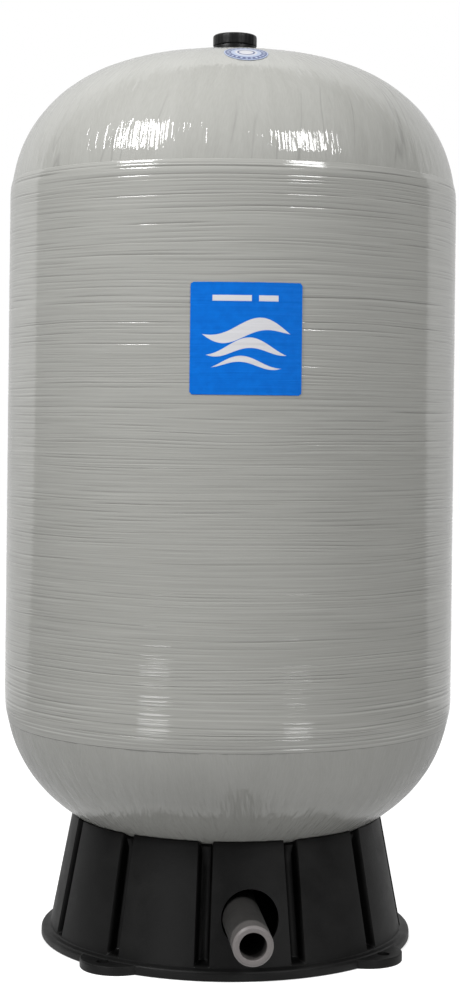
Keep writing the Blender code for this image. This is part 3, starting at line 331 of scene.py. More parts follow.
# %% [markdown]
# ## The hoop winding
# Between the domes the roving runs round the tank, strand beside strand, about three
# millimetres apart. No two strands are equally full, they wander by a fraction of their width,
# and here and there one stands so proud that its flank catches the lamp as a thin bright line.
# So the rows of this mesh follow the strands: each has a valley, two flanks and a crest, and
# every valley has its own depth, which swells and fades round the tank. The wound layer rolls
# off at its top edge and thins out to nothing at its foot.

# %% Strand edges and their wander
HOOP_COLUMNS, STRAND_WIDTH = 112, 0.0033
WANDER_FADE = 0.02

rng = np.random.default_rng(23)
hoop_height = HOOP_TOP_Z - HOOP_BOTTOM_Z
strand_count = int(hoop_height / STRAND_WIDTH)
strand_widths = np.exp(rng.normal(0.0, 0.30, strand_count))
strand_edges = np.concatenate(([0.0], np.cumsum(strand_widths))) / strand_widths.sum()
strand_edges = HOOP_BOTTOM_Z + strand_edges * hoop_height
hoop_turn = full_turn(HOOP_COLUMNS)


def wandering(rows, waves, fade, blend_rows):
    """Random smooth function of angle for each row, alike in neighbouring rows.

    Each row is a sum of cosines and sines whose heights fall as order^-fade. The heights are
    averaged over blend_rows rows, and the whole is scaled to a standard deviation of one.
    """
    order = np.arange(1, waves + 1)
    height = rng.normal(size=(rows + blend_rows, waves, 2)) / order[None, :, None] ** fade
    kernel = np.hanning(blend_rows + 3)[1:-1]
    height = sum(weight * height[i:i + rows] for i, weight in enumerate(kernel[:blend_rows]))
    angle = np.multiply.outer(order, hoop_turn)
    field = height[..., 0] @ np.cos(angle) + height[..., 1] @ np.sin(angle)
    return field / field.std()


wander = wandering(strand_count + 1, 9, 0.9, 14) * 0.00080
wander += wandering(strand_count + 1, 22, 0.6, 3) * 0.00014
edge_away = np.minimum(strand_edges - HOOP_BOTTOM_Z, HOOP_TOP_Z - strand_edges)
wander *= unit(edge_away / WANDER_FADE)[:, None]
print(strand_count, "strands")

# %% Depth of each valley, and how proud each strand lies
SECTION = np.array([0.0, 0.17, 0.40, 0.64, 0.85])[None, :, None]
SECTION_RISE = np.array([0.0, 0.60, 0.93, 1.0, 0.60])[None, :, None]
# The third depth is where a valley's painted shade becomes full.
USUAL_DEPTH, DEEPEST, FULL_SHADE_DEPTH = 0.00012, 0.00038, 0.00036
base_depth = USUAL_DEPTH * np.exp(rng.normal(0.0, 0.35, strand_count))
near_top = np.exp(-(HOOP_TOP_Z - strand_edges[:-1]) / 0.060)
near_foot = np.exp(-(strand_edges[:-1] - HOOP_BOTTOM_Z) / 0.045)
base_depth *= 1.0 + 0.7 * near_top + 2.4 * near_foot
bold = rng.uniform(size=strand_count) < 0.10 + 0.25 * near_top
base_depth[bold] *= 2.2
valley = np.clip(0.55 + 0.60 * wandering(strand_count, 14, 0.25, 1), 0.02, 2.2)
valley = np.minimum(base_depth[:, None] * valley, DEEPEST * (1 + 0.6 * near_foot)[:, None])
lie = 0.00005 * wandering(strand_count, 7, 0.6, 7)
lie += 0.00002 * wandering(strand_count, 12, 0.4, 1)
lie = np.minimum(lie - 0.00009, 0.0)

# %% Points of the hoop winding
TOP_ROLL, FOOT_FEATHER, FOOT_FADE = 0.0070, 0.0140, 0.006


def hoop_lift(z):
    """How far the hoops stand off the bare tank at an array of heights.

    Full between the edges; 1 - (1 - s)^1.7 over the roll at the top and a smooth step, with a
    tenth left over, above the foot.
    """
    top = unit((HOOP_TOP_Z - z) / TOP_ROLL)
    foot = unit((z - HOOP_BOTTOM_Z) / FOOT_FEATHER)
    return HOOP_RISE * (1 - (1 - top) ** 1.7) * (0.1 + 0.9 * foot ** 2 * (3 - 2 * foot))


def between(rows, next_rows):
    """Blend from each row's values to the next row's, at every station of the section."""
    return rows[:, None] + (next_rows - rows)[:, None] * SECTION


station_z = between(strand_edges[:-1, None], strand_edges[1:, None])
sway = between(wander[:-1], wander[1:])
sink = between(valley, np.vstack((valley[1:], valley[-1:]))) * (1 - SECTION_RISE)
lift = hoop_lift(station_z)
dip = (lie[:, None, :] - sink) * (lift / HOOP_RISE) ** 0.5
dip *= unit((station_z - HOOP_BOTTOM_Z) / FOOT_FADE)
strands = np.stack((bare_radius(station_z) + lift + np.maximum(dip, -0.7 * lift),
                    station_z + sway)).reshape(2, -1, HOOP_COLUMNS)
# Painted shade along each valley and painted highlights on some crests, stored on the points for
# the material.
rng = np.random.default_rng(31)
crest = unit(0.5 + 0.6 * wandering(strand_count, 10, 0.3, 1))
crest *= ((0.25 + 0.75 * near_foot) * rng.uniform(0.2, 1.0, strand_count))[:, None]
shade = np.zeros((strand_count, SECTION.size, HOOP_COLUMNS, 3))
shade[:, 0, :, 0] = unit(valley / FULL_SHADE_DEPTH) ** 0.7
shade[:, 3, :, 1] = crest

# Level rings that close the skin, as (height, lift off the bare tank): one below, four above.
closing = np.array([
    (HOOP_BOTTOM_Z - 0.0006, -0.0006), (HOOP_TOP_Z, 0.00004), (HOOP_TOP_Z + 0.0006, -0.0006),
    (UPPER_SPRING_Z, -0.0010), (LOWER_SPRING_Z, -0.0010),
])
closing = np.stack((bare_radius(closing[:, 0]) + closing[:, 1], closing[:, 0]))
closing = np.repeat(closing[..., None], HOOP_COLUMNS, axis=-1)
hoop_radius, hoop_z = np.concatenate((closing[:, :1], strands, closing[:, 1:]), axis=1)
hoop_winding = place("hoop_winding", turned(hoop_radius, hoop_turn, hoop_z), "grey_resin",
                     "wound_shell")
store(hoop_winding.data, "valley_shade_and_crest_highlight",
      np.pad(shade.reshape(-1, HOOP_COLUMNS, 3), ((1, 4), (0, 0), (0, 0))))

# %% [markdown]
# ## The moulded foot
# The foot is one injection moulding: a tapered wall with twelve pressed channels that stiffen
# it, a rim that the tank sits in, and a flange with four bolt lugs. Its outline is the same at
# every height apart from its radius, so each ring is a radius, a channel depth and a height.
# The channels' sides need many points and the plain panels few, so the columns are spaced
# unevenly round the foot. The holes are cut with Booleans, as they would be drilled.

# %% Outline of the foot
BASE_TURN = math.radians(2.5)
WALL_FOOT_RADIUS, WALL_TAPER, BASE_WALL = 0.1615, 0.1915, 0.0040
RIM_RADIUS, LEDGE_RADIUS = 0.1395, 0.1290
FLANGE_RADIUS, FLANGE_HEIGHT, FLANGE_EDGE = 0.1676, 0.0086, 0.0030
CHANNEL_COUNT, CHANNEL_WIDTH, CHANNEL_DEPTH, CHANNEL_DEEP = 12, 0.0128, 0.0060, 0.0110
SEAT_GAP = 0.0004
side = np.array([-1.12, -1.04, -0.99, -0.95, -0.90, -0.84, -0.77, -0.70, -0.64, -0.58, -0.35])
offsets = np.concatenate((side, [0.0], -side[::-1])) * CHANNEL_WIDTH / 2
panel_shares = np.linspace(0.0, 1.0, 9)[1:-1]


def channel_share(offset):
    """How deep the channel is at an offset from its middle, 1 on its floor and 0 outside.

    Half is a smooth step 3t^2 - 2t^3 from its edge to 70% of its half width, and half is a
    round trough, the root of 1 - t^2.
    """
    away = np.abs(offset) / (CHANNEL_WIDTH / 2)
    share = unit((1 - away) / 0.3)
    trough = np.sqrt(unit(1 - away ** 2))
    return (share ** 2 * (3 - 2 * share) + trough) / 2


def foot_ring(radius, depth, height):
    """One level outline of the foot; the height may be a function of the radius."""
    pitch = TURN / CHANNEL_COUNT
    middles = FRONT + BASE_TURN + (np.arange(CHANNEL_COUNT)[:, None] + 0.5) * pitch
    panel = pitch - 2 * offsets[-1] / radius
    on_panel = middles + offsets[-1] / radius + panel_shares * panel
    turn = np.hstack((middles + offsets / radius, on_panel)).ravel()
    deep = np.hstack((np.tile(channel_share(offsets), (CHANNEL_COUNT, 1)), 0 * on_panel)).ravel()
    local = radius - depth * deep
    return turned(local, turn, height(local) if callable(height) else height)


def wall_radius(z):
    """Radius of the tapered wall at a height."""
    return WALL_FOOT_RADIUS - WALL_TAPER * z


def seat_z(radius):
    """Height of the seat, just under the tank's lower dome."""
    return LOWER_SPRING_Z - dome_rise(radius, LOWER_HEIGHT, LOWER_SHAPE) - SEAT_GAP


# %% Rings of the foot
RIM_DROP = 0.0012
RIB_FOOT_Z, RIB_FOOT_RISE = FLANGE_HEIGHT + 0.0009, 0.0045
corner_z = float(seat_z(RIM_RADIUS)) - RIM_DROP
rim_width = wall_radius(corner_z) - RIM_RADIUS
inner_top = float(seat_z(LEDGE_RADIUS + BASE_WALL)) - BASE_WALL


def rim_height(share):
    """Height of the rounded rim a share of the way down its edge, following the seat."""
    return lambda radius: seat_z(radius - rim_width * share) - RIM_DROP * share ** 2


def wall_rings(rows, reach=0.0):
    """Rings at a reach off the tapered wall, from rows of a height and a channel depth."""
    return [foot_ring(wall_radius(z) + reach, depth, z) for z, depth in rows]


rings = [foot_ring(LEDGE_RADIUS, 0.0, seat_z), foot_ring(0.1345, CHANNEL_DEPTH * 0.5, seat_z)]
rings += [foot_ring(RIM_RADIUS + rim_width * share, CHANNEL_DEPTH, rim_height(share))
          for share in (0.0, 0.45, 0.8, 1.0)]
rings += wall_rings([(corner_z - 0.004, CHANNEL_DEPTH)])
rings += wall_rings([(z, CHANNEL_DEEP) for z in np.linspace(corner_z - 0.012, 0.030, 7)])
rings += wall_rings([
    (RIB_FOOT_Z + RIB_FOOT_RISE * share, CHANNEL_DEEP * math.sin(math.pi / 2 * share))
    for share in (1.0, 0.9, 0.7, 0.45, 0.2, 0.05, 0.0)
])
for reach, z in ((0.0004, 0.0091), (0.0012, 0.0088), (0.0021, FLANGE_HEIGHT)):
    rings += wall_rings([(z, 0.0)], reach)
flange = [*round_edge(FLANGE_RADIUS, FLANGE_HEIGHT, FLANGE_EDGE, 6)[::-1],
          (FLANGE_RADIUS, 0.0008), (FLANGE_RADIUS - 0.0006, 0.0)]
rings += [foot_ring(radius, 0.0, z) for radius, z in flange]
rings += wall_rings([(0.0, 0.0), (0.0030, 0.0), (0.0085, CHANNEL_DEEP),
                     (corner_z - 0.016, CHANNEL_DEEP), (inner_top, CHANNEL_DEPTH)], -BASE_WALL)
rings.append(foot_ring(LEDGE_RADIUS, 0.0, lambda radius: seat_z(radius) - BASE_WALL))
foot_mesh = skin("base_moulding", np.stack(rings))

# %% Lugs, bolt holes and the pipe's hole
LUG_REACH, LUG_PAD_RADIUS, LUG_HEIGHT, LUG_EDGE = 0.1850, 0.032, 0.0078, 0.0012
BOLT_CIRCLE, BOLT_HOLE, PIPE_HOLE, PIPE_Z = 0.1718, 0.0055, 0.0245, 0.048
lug_turns = FRONT + BASE_TURN + (np.arange(4) + 0.5) * math.pi / 2


def lug_grid(turn):
    """A rounded pad under one bolt hole: an arc of a disc, closed by a chord inside the wall."""
    edge = round_edge(0.0, LUG_HEIGHT, LUG_EDGE, 5)
    inset = np.concatenate(([0.0005, 0.0], -edge[:, 0], [0.006]))[:, None]
    height = np.concatenate(([0.0, 0.0006], edge[:, 1], [LUG_HEIGHT]))[:, None]
    middle, chord = LUG_REACH - LUG_PAD_RADIUS, WALL_FOOT_RADIUS - 0.0035 + inset * 0.3
    out = LUG_PAD_RADIUS - inset
    half = np.arccos((chord - middle) / out)
    arc = half * np.linspace(-1.0, 1.0, 60)
    chord_y = out * np.sin(half) * np.linspace(1.0, -1.0, 14)[1:-1]
    x = np.hstack((middle + out * np.cos(arc), chord + 0 * chord_y))
    y = np.hstack((out * np.sin(arc), chord_y))
    return turned(np.hypot(x, y), turn + np.arctan2(y, x), height)


def rod(name, ends, radius, count):
    """A closed straight rod between two points, for cutting a round hole."""
    axis = (ends[1] - ends[0]) / np.linalg.norm(ends[1] - ends[0])
    side = np.cross(axis, (0.0, 0.0, 1.0) if abs(axis[2]) < 0.9 else (1.0, 0.0, 0.0))
    side /= np.linalg.norm(side)
    turn = full_turn(count)[:, None]
    ring = radius * (np.cos(turn) * side + np.sin(turn) * np.cross(axis, side))
    return skin(name, ends[:, None] + ring, loop=False)


def carve(mesh, steps):
    """Join or cut a mesh with others, one after another, and return the finished mesh."""
    work = put("carving", mesh)
    tools = []
    for operation, tool_mesh in steps:
        tools.append(put("tool", tool_mesh))
        modifier = work.modifiers.new("carve", "BOOLEAN")
        modifier.operation, modifier.solver, modifier.object = operation, "EXACT", tools[-1]
    bpy.context.view_layer.update()
    graph = bpy.context.evaluated_depsgraph_get()
    finished = bpy.data.meshes.new_from_object(work.evaluated_get(graph))
    for tool in tools + [work]:
        bpy.data.objects.remove(tool, do_unlink=True)
    return finished


bolt_z, pipe_reach = np.array([-0.01, 0.02]), np.array([0.128, 0.19])
steps = [("UNION", skin("lug", lug_grid(turn), loop=False)) for turn in lug_turns]
steps += [("DIFFERENCE", rod("bolt_hole", turned(BOLT_CIRCLE, turn, bolt_z), BOLT_HOLE, 32))
          for turn in lug_turns]
steps.append(("DIFFERENCE", rod("pipe_hole", turned(pipe_reach, FRONT + BASE_TURN, PIPE_Z),
                                PIPE_HOLE, 64)))
foot_mesh = carve(foot_mesh, steps)
foot_mesh.name = "base_moulding"
foot_mesh.shade_smooth()
foot_mesh.set_sharp_from_angle(angle=math.radians(38))
base_moulding = place("base_moulding", foot_mesh, "black_plastic", "base_stand")

# %% [markdown]
# ## Pipe and elbow
# A plain grey plastic pipe leaves the elbow and runs out through the foot. A sawn end has a
# small chamfer and a crisp inner edge. A tube is a circle carried along a line, out along its
# outside and back along its bore, so its wall is part of the same skin.

# %% Tubes
PIPE_RADIUS, PIPE_BORE, PIPE_CHAMFER = 0.0167, 0.01125, 0.0020
ELBOW_RADIUS, ELBOW_BEND, ELBOW_LEG, ELBOW_EDGE = 0.0208, 0.0215, 0.0500, 0.0008
SPIGOT_RADIUS, SOCKET_RADIUS, SOCKET_DEPTH = 0.0157, 0.0170, 0.022
PIPE_LOW, PIPE_HIGH = box("outlet_pipe")
pipe_tip, pipe_root = PIPE_LOW[1], PIPE_HIGH[1]
elbow_top, shoulder = heights("outlet_elbow")[1], heights("port_nut")[0] - 0.0003
mouth = AXIS_Y - ELBOW_LEG


def tube(rows, count):
    """Circles square to a line in the YZ plane; rows are y, z, its heading (y, z), radius.

    A point lies radius cos(a) along X and radius sin(a) along the heading turned a quarter.
    """
    y, z, heading_y, heading_z, radius = np.array(rows).T[..., None]
    turn = full_turn(count)
    aside = radius * np.sin(turn)
    return together(radius * np.cos(turn), y - aside * heading_z, z + aside * heading_y)


def upright(*stations):
    """Rows of a leg that runs straight down, from its heights and radii."""
    return [(AXIS_Y, z, 0.0, -1.0, radius) for z, radius in stations]


def level(heading, *stations):
    """Rows of a level leg, from how far they lie behind the elbow's mouth and their radii."""
    return [(mouth + back, PIPE_Z, heading, 0.0, radius) for back, radius in stations]


profile = rounded([
    (pipe_tip, PIPE_BORE), (pipe_tip, PIPE_RADIUS - PIPE_CHAMFER),
    (pipe_tip + 0.0022, PIPE_RADIUS), (pipe_root, PIPE_RADIUS), (pipe_root, PIPE_BORE),
], 0.0005, 4)
pipe_rows = level(1.0, *[(y - mouth, radius) for y, radius in profile])
outlet_tube = place("outlet_tube", tube(pipe_rows, 72), "grey_pvc", "outlet_pipe", sharp=50)

turn = quarter(14)[1:]
bend = together(AXIS_Y - ELBOW_BEND + ELBOW_BEND * np.cos(turn),
                PIPE_Z + ELBOW_BEND - ELBOW_BEND * np.sin(turn), -np.sin(turn), -np.cos(turn), 0)
elbow_rows = np.vstack((
    upright((elbow_top, SPIGOT_RADIUS), (shoulder + 0.0002, SPIGOT_RADIUS),
            (shoulder, ELBOW_RADIUS - ELBOW_EDGE), (shoulder - ELBOW_EDGE, ELBOW_RADIUS)),
    bend + (0.0, 0.0, 0.0, 0.0, ELBOW_RADIUS),
    level(-1.0, (ELBOW_EDGE, ELBOW_RADIUS), (0.0, ELBOW_RADIUS - ELBOW_EDGE),
          (0.0, SOCKET_RADIUS + 0.0006), (0.0006, SOCKET_RADIUS),
          (SOCKET_DEPTH, SOCKET_RADIUS), (SOCKET_DEPTH + 0.0002, PIPE_BORE)),
    bend[::-1] + (0.0, 0.0, 0.0, 0.0, PIPE_BORE),
    upright((elbow_top, PIPE_BORE)),
))
elbow_bend = place("elbow_bend", tube(elbow_rows, 56), "grey_pvc", "outlet_elbow", sharp=50)

# %% [markdown]
# ## Fittings on the crown
# The black screw cover has fine grip flutes, a rounded top edge and a collar under it. When it
# is unscrewed it shows a threaded shank and, in a well, a small brass valve with its own cap.
# A thread is an outline whose radius swells once for each pitch along the axis, and whose
# phase moves round with the turn, so the ridge climbs like a real one.

# %% Cover and collar
COVER_RADIUS, COVER_EDGE, COVER_BORE = 0.0200, 0.0022, 0.0143
COVER_FLUTES, FLUTE_DEPTH = 20, 0.00014
COLLAR_RADIUS, COLLAR_BORE = 0.0197, 0.0143


def at(z, *rows):
    """(radius, z) points told by how far they lie above a level."""
    return [(radius, z + rise) for radius, rise in rows]


def ribbed(outline, strength, groove):
    """Rings of an outline: each radius less the row's strength times the groove's depth there.

    The cover's flutes are -cos(20 a), cut to 0..1 and raised to 0.7, and the small cap's ribs
    half of 1 - cos(24 a). Both fade out round the top edge.
    """
    radius, height = outline.T[..., None]
    return turned(radius - strength[:, None] * groove, full_turn(len(groove)), height)


flange_low, shank_top = heights("air_fitting")
stem_low, stem_top = heights("valve_stem")
low, high = heights("valve_cover")
outline = np.vstack((
    at(shank_top + 0.0018, (0.006, 0), (COVER_BORE, 0)),
    at(low, (COVER_BORE, 0.0005), (COVER_BORE + 0.0005, 0), (COVER_RADIUS - 0.0004, 0),
       (COVER_RADIUS, 0.0004), (COVER_RADIUS, 0.0012)),
    (COVER_RADIUS, (low + high) / 2), round_edge(COVER_RADIUS, high, COVER_EDGE, 8),
    at(high, (0.0150, 0), (0.0144, -0.0001), (0.0138, -0.00035), (0.006, -0.00035)),
))
strength = np.concatenate(([0, 0, 0, 0, 0.3, 0.6, 1, 1], np.cos(quarter(8)) ** 0.7, [0] * 4))
flute = FLUTE_DEPTH * unit(-np.cos(COVER_FLUTES * full_turn(240))) ** 0.7
cover_cap = place("cover_cap", ribbed(outline, strength, flute), "black_plastic",
                  "valve_cover", body="cover", loop=False, sharp=60)
collar_low, collar_high = heights("clamp_collar")
collar = revolve(rounded(at(collar_low, (COLLAR_BORE, 0), (COLLAR_RADIUS, 0))
                         + at(collar_high, (COLLAR_RADIUS, 0), (COLLAR_BORE, 0)), 0.0009, 5), 96)
crown_collar = place("crown_collar", collar, "black_plastic", "clamp_collar", sharp=60)

# %% Threaded shank, valve stem and its cap


def threaded(below, above, low, high, root, crest, pitch, count, per_turn):
    """Rings of a threaded post: plain outline below, the thread, plain outline above.

    The radius at a height z and turn a is root + (crest - root) * ridge(z / pitch - a / 2pi),
    where ridge is a raised cosine. The thread's ends fade over one pitch.
    """
    turn = full_turn(count)
    z = np.linspace(low, high, int((high - low) / pitch * per_turn))[:, None]
    ridge = 0.5 - 0.5 * np.cos(TURN * (z / pitch) - turn)
    fade = unit(np.minimum(z - low, high - z) / pitch)
    thread = turned(root + (crest - root) * ridge ** 0.8 * fade, turn, z)
    return np.concatenate((revolve(below, count), thread, revolve(above, count)))


SHANK_ROOT, SHANK_CREST, SHANK_PITCH = 0.0129, 0.0140, 0.0030
STEM_ROOT, STEM_CREST, STEM_PITCH = 0.0034, 0.00385, 0.0008
FLANGE_RIM, SHANK_BORE, WELL_RADIUS, WELL_DEPTH = 0.0260, 0.0049, 0.0095, 0.0190
shank = threaded(
    at(flange_low, (SHANK_BORE, 0), (FLANGE_RIM - 0.0004, 0), (FLANGE_RIM, 0.0004),
       (FLANGE_RIM, 0.0050), (SHANK_CREST, 0.0050))
    + at(collar_high, (SHANK_CREST, 0), (SHANK_ROOT, 0.0003)),
    at(shank_top, (0.0127, -0.0006), (0.0122, 0), (WELL_RADIUS + 0.0003, 0),
       (WELL_RADIUS, -0.0003), (WELL_RADIUS, -WELL_DEPTH), (SHANK_BORE, -WELL_DEPTH)),
    collar_high + 0.0006, shank_top - 0.0008, SHANK_ROOT, SHANK_CREST, SHANK_PITCH, 96, 10)
threaded_shank = place("threaded_shank", shank, "black_plastic", "air_fitting", sharp=50)

STEM_RADIUS, STEM_GROOVE, STEM_FLANGE = 0.0046, 0.0032, 0.0062
STEM_WELL, STEM_BORE, STEM_SEAT = 0.0026, 0.0019, 0.0012
stem_shoulder = stem_top - 0.0115
stem = threaded(
    at(stem_low, (STEM_SEAT, 0), (STEM_RADIUS, 0))
    + at(stem_shoulder, (STEM_RADIUS, -0.0062), (STEM_GROOVE, -0.0062),
         (STEM_GROOVE, -0.0040), (STEM_RADIUS, -0.0040), (STEM_RADIUS, 0), (STEM_FLANGE, 0),
         (STEM_FLANGE, 0.0027), (STEM_FLANGE - 0.0003, 0.0030), (STEM_ROOT, 0.0030)),
    at(stem_top, (STEM_ROOT, -0.0004), (0.0031, 0), (STEM_WELL, 0), (STEM_WELL, -0.0083),
       (STEM_BORE, -0.0083), (STEM_BORE, -0.0180), (STEM_SEAT, -0.0180)),
    stem_shoulder + 0.0034, stem_top - 0.0005, STEM_ROOT, STEM_CREST, STEM_PITCH, 48, 8)
threaded_stem = place("threaded_stem", stem, "brass", "valve_stem", sharp=50)

CAP_RADIUS, CAP_EDGE, CAP_BORE, CAP_RIBS, RIB_DEPTH = 0.0056, 0.0009, 0.00415, 24, 0.00025
low, high = heights("valve_cap")
outline = np.vstack((
    at(stem_top + 0.0014, (0.002, 0), (CAP_BORE, 0)),
    at(low, (CAP_BORE, 0), (CAP_RADIUS - 0.0003, 0), (CAP_RADIUS, 0.0003)),
    (CAP_RADIUS, (low + high) / 2), round_edge(CAP_RADIUS, high, CAP_EDGE, 6), (0.002, high),
))
strength = np.concatenate(([0, 0, 0, 0.3, 1, 1], np.cos(quarter(6)), [0]))
rib = RIB_DEPTH * (0.5 - 0.5 * np.cos(CAP_RIBS * full_turn(144)))
knurled_cap = place("knurled_cap", ribbed(outline, strength, rib), "black_plastic",
                    "valve_cap", body="cap", loop=False, sharp=60)

# %% [markdown]
# ## The spring in the valve
# Inside the valve's barrel a small coil spring holds the pin up. It is a circle of wire carried
# round a helix: the end turns lie close together and the middle ones stand open. When the pin
# goes down the spring gets shorter.

# %% Coil spring
SPRING_LOW, SPRING_HIGH = box("core_spring")
WIRE_RADIUS, SPRING_TURNS, CLOSE_PITCH = 0.00015, 5, 0.00032
spring_height = float(SPRING_HIGH[2] - SPRING_LOW[2])


def coil(radius, per_turn=28, around=10):
    """Rings of wire along a helix that rises slowly over its first and last turn.

    Each ring is the circle out * cos(a) + up * sin(a) about the wire's middle.
    """
    turns = np.linspace(0.0, SPRING_TURNS, SPRING_TURNS * per_turn + 1)[:, None]
    top = spring_height - 2 * WIRE_RADIUS
    rise = np.interp(turns, [0, 1, SPRING_TURNS - 1, SPRING_TURNS],
                     [0.0, CLOSE_PITCH, top - CLOSE_PITCH, top])
    angle = full_turn(around)
    z = SPRING_LOW[2] + WIRE_RADIUS + rise + WIRE_RADIUS * np.sin(angle)
    return turned(radius + WIRE_RADIUS * np.cos(angle), TURN * turns, z)


spring_radius = (SPRING_HIGH[0] - SPRING_LOW[0]) / 2 - WIRE_RADIUS
coil_spring = place("coil_spring", coil(spring_radius), "spring_steel", "core_spring",
                    loop=False)
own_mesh(coil_spring)

# %% [markdown]
# ## The labels
# Two printed films: a square one wrapped round the front, and a small disc on the dome. A film
# follows what it is stuck on, so the strands show through it as faint waves and its edge lifts
# by its own thickness. Each point keeps its place on the flat sheet, for the printed design.

# %% Films
LABEL_WIDTH, LABEL_HEIGHT, LABEL_CORNER = 0.0925, 0.0920, 0.0022
LABEL_THICKNESS, FILM_GAP, FACE_SHRINK = 0.0003, 0.0001, 0.9985
LABEL_TURN = math.radians(-2.1)
RIPPLE_HEIGHT, RIPPLE_LENGTH = 0.00005, 0.0073
DISC_RADIUS, DISC_DISTANCE, DISC_TURN = 0.0190, 0.1230, FRONT - math.radians(1.0)


def sheet_outline(width, height, corner, count=128):
    """Points round a rounded rectangle, evenly spaced along it."""
    dense = []
    for i, signs in enumerate(((1, 1), (-1, 1), (-1, -1), (1, -1))):
        angle = quarter(9) + i * math.pi / 2
        middle = np.array(signs) * (width / 2 - corner, height / 2 - corner)
        dense.append(middle + corner * together(np.cos(angle), np.sin(angle)))
    dense = np.vstack(dense + [dense[0][:1]])
    return along(dense, count + 1)[:-1]


def film(outline, shares):
    """Flat film as rings: its outline times growing shares, then the face back by the same."""
    under = outline * shares[:, None, None]
    flat = np.concatenate((under, under[::-1]))
    flat[len(shares)] *= FACE_SHRINK
    return flat, np.repeat((0.0, LABEL_THICKNESS), len(shares))[:, None]


def stick(name, flat, points, slot, node):
    """Place a film, and keep where each of its points lies on the flat sheet."""
    piece = place(name, points, slot, node, loop=False, sharp=40)
    sheet = np.zeros((len(piece.data.vertices), 3))
    sheet[:flat.size // 2, :2] = flat.reshape(-1, 2)
    store(piece.data, "sheet", sheet)
    return piece


shares = np.concatenate((np.linspace(0.02, 0.96, 26), [0.985, 1.0]))
flat, lift = film(sheet_outline(LABEL_WIDTH, LABEL_HEIGHT, LABEL_CORNER), shares)
label_turn = FRONT + LABEL_TURN + flat[..., 0] / TANK_RADIUS
height = sum(heights("front_label")) / 2 + flat[..., 1]
ripple = np.sin(height * TURN / RIPPLE_LENGTH + 3 * np.sin(label_turn * 5)) - 1.0
label_radius = TANK_RADIUS + FILM_GAP + lift + RIPPLE_HEIGHT * ripple * (lift > 0)
front_film = stick("front_film", flat, turned(label_radius, label_turn, height), "label_blue",
                   "front_label")

shares = np.concatenate((np.linspace(0.04, 0.95, 14), [0.98, 1.0]))
angle = full_turn(96)
flat, lift = film(DISC_RADIUS * together(np.cos(angle), np.sin(angle)), shares)
spot = flat + DISC_DISTANCE * np.array((math.cos(DISC_TURN), math.sin(DISC_TURN)))
dome_z = UPPER_SPRING_Z + dome_rise(np.linalg.norm(spot, axis=-1), UPPER_HEIGHT, UPPER_SHAPE)
disc = together(spot[..., 0], AXIS_Y + spot[..., 1], dome_z + FILM_GAP + lift)
crown_film = stick("crown_film", flat, disc, "label_pale", "top_label")

# %% [markdown]
# ## Materials: a few helpers
# Shader nodes are wired in code here, so a handful of short helpers keep each material down to
# the lines that say what it looks like. What leaves a socket is wrapped so that it can be
# added and multiplied: each sign then adds one Math node, and a mask reads as its formula. A
# constant goes on the socket itself, and a link carries only what changes over the surface.

# %% Formulas from nodes


def sign(operation, swapped=False):
    """The method for one arithmetic sign."""
    def method(self, other):
        return calc(operation, other, self) if swapped else calc(operation, self, other)
    return method


class Flow:
    """What leaves a node's socket."""

    def __init__(self, socket):
        self.socket = socket

    __add__, __mul__, __pow__ = sign("ADD"), sign("MULTIPLY"), sign("POWER")
    __sub__, __rsub__, __truediv__ = sign("SUBTRACT"), sign("SUBTRACT", True), sign("DIVIDE")


def feed(value, socket):
    """Link a flow to a socket, or set the socket's constant."""
    if isinstance(value, Flow):
        value.socket.id_data.links.new(value.socket, socket)
    elif value is not None:
        socket.default_value = value


def node(kind, sockets, out=0, tree=None, **settings):
    """A new node, fed by socket name or number; returns one of its outputs.

    It goes into the tree of the first flow that feeds it, if no tree is given.
    """
    if tree is None:
        tree = next(flow.socket.id_data for flow in sockets.values() if isinstance(flow, Flow))
    made = tree.nodes.new(kind)
    for name, value in settings.items():
        setattr(made, name, value)
    for name, value in sockets.items():
        feed(value, made.inputs[name])
    return Flow(made.outputs[out])


def calc(operation, *values, clamp=False):
    """One Math node."""
    return node("ShaderNodeMath", dict(enumerate(values)), operation=operation, use_clamp=clamp)


def stretch(vector, scale):
    """A Mapping node that scales a pattern's coordinates."""
    return node("ShaderNodeMapping", {"Vector": vector, "Scale": scale})


def noise(vector, scale, detail=2.0, roughness=0.5, distortion=0.0):
    """Value of a noise texture, about 0.5 on average."""
    return node("ShaderNodeTexNoise", {"Vector": vector, "Scale": scale, "Detail": detail,
                                       "Roughness": roughness, "Distortion": distortion})


def remap(value, low, high, new_low=0.0, new_high=1.0, smooth=False):
    """Map a range of a value onto another, clamped."""
    return node("ShaderNodeMapRange", dict(enumerate((value, low, high, new_low, new_high))),
                clamp=True, interpolation_type="SMOOTHSTEP" if smooth else "LINEAR")


def mix(share, first, second):
    """Mix two colours."""
    return node("ShaderNodeMix", {0: share, 6: first, 7: second}, out=2, data_type="RGBA")


def bump(height, distance, normal=None):
    """Normal from a height that is 0 to 1 over a distance in metres."""
    return node("ShaderNodeBump", {"Distance": distance, "Height": height, "Normal": normal})


def parts(vector):
    """The three numbers of a vector."""
    first = node("ShaderNodeSeparateXYZ", {0: vector}).socket.node
    return [Flow(output) for output in first.outputs]


def object_place(tree):
    """Object coordinates, in metres."""
    return node("ShaderNodeTexCoord", {}, "Object", tree)


def stored(tree, name):
    """A vector stored on the mesh's points."""
    return node("ShaderNodeAttribute", {}, "Vector", tree, attribute_name=name)


# %% Groups and materials


def grey(value, warm=1.0):
    """A grey, its blue lowered a little by warm."""
    return (value, value, value * warm, 1.0)


def fill(target, **values):
    """Feed a node's sockets by name; an underscore stands for a space."""
    for label, value in values.items():
        feed(value, target.inputs[label.replace("_", " ")])


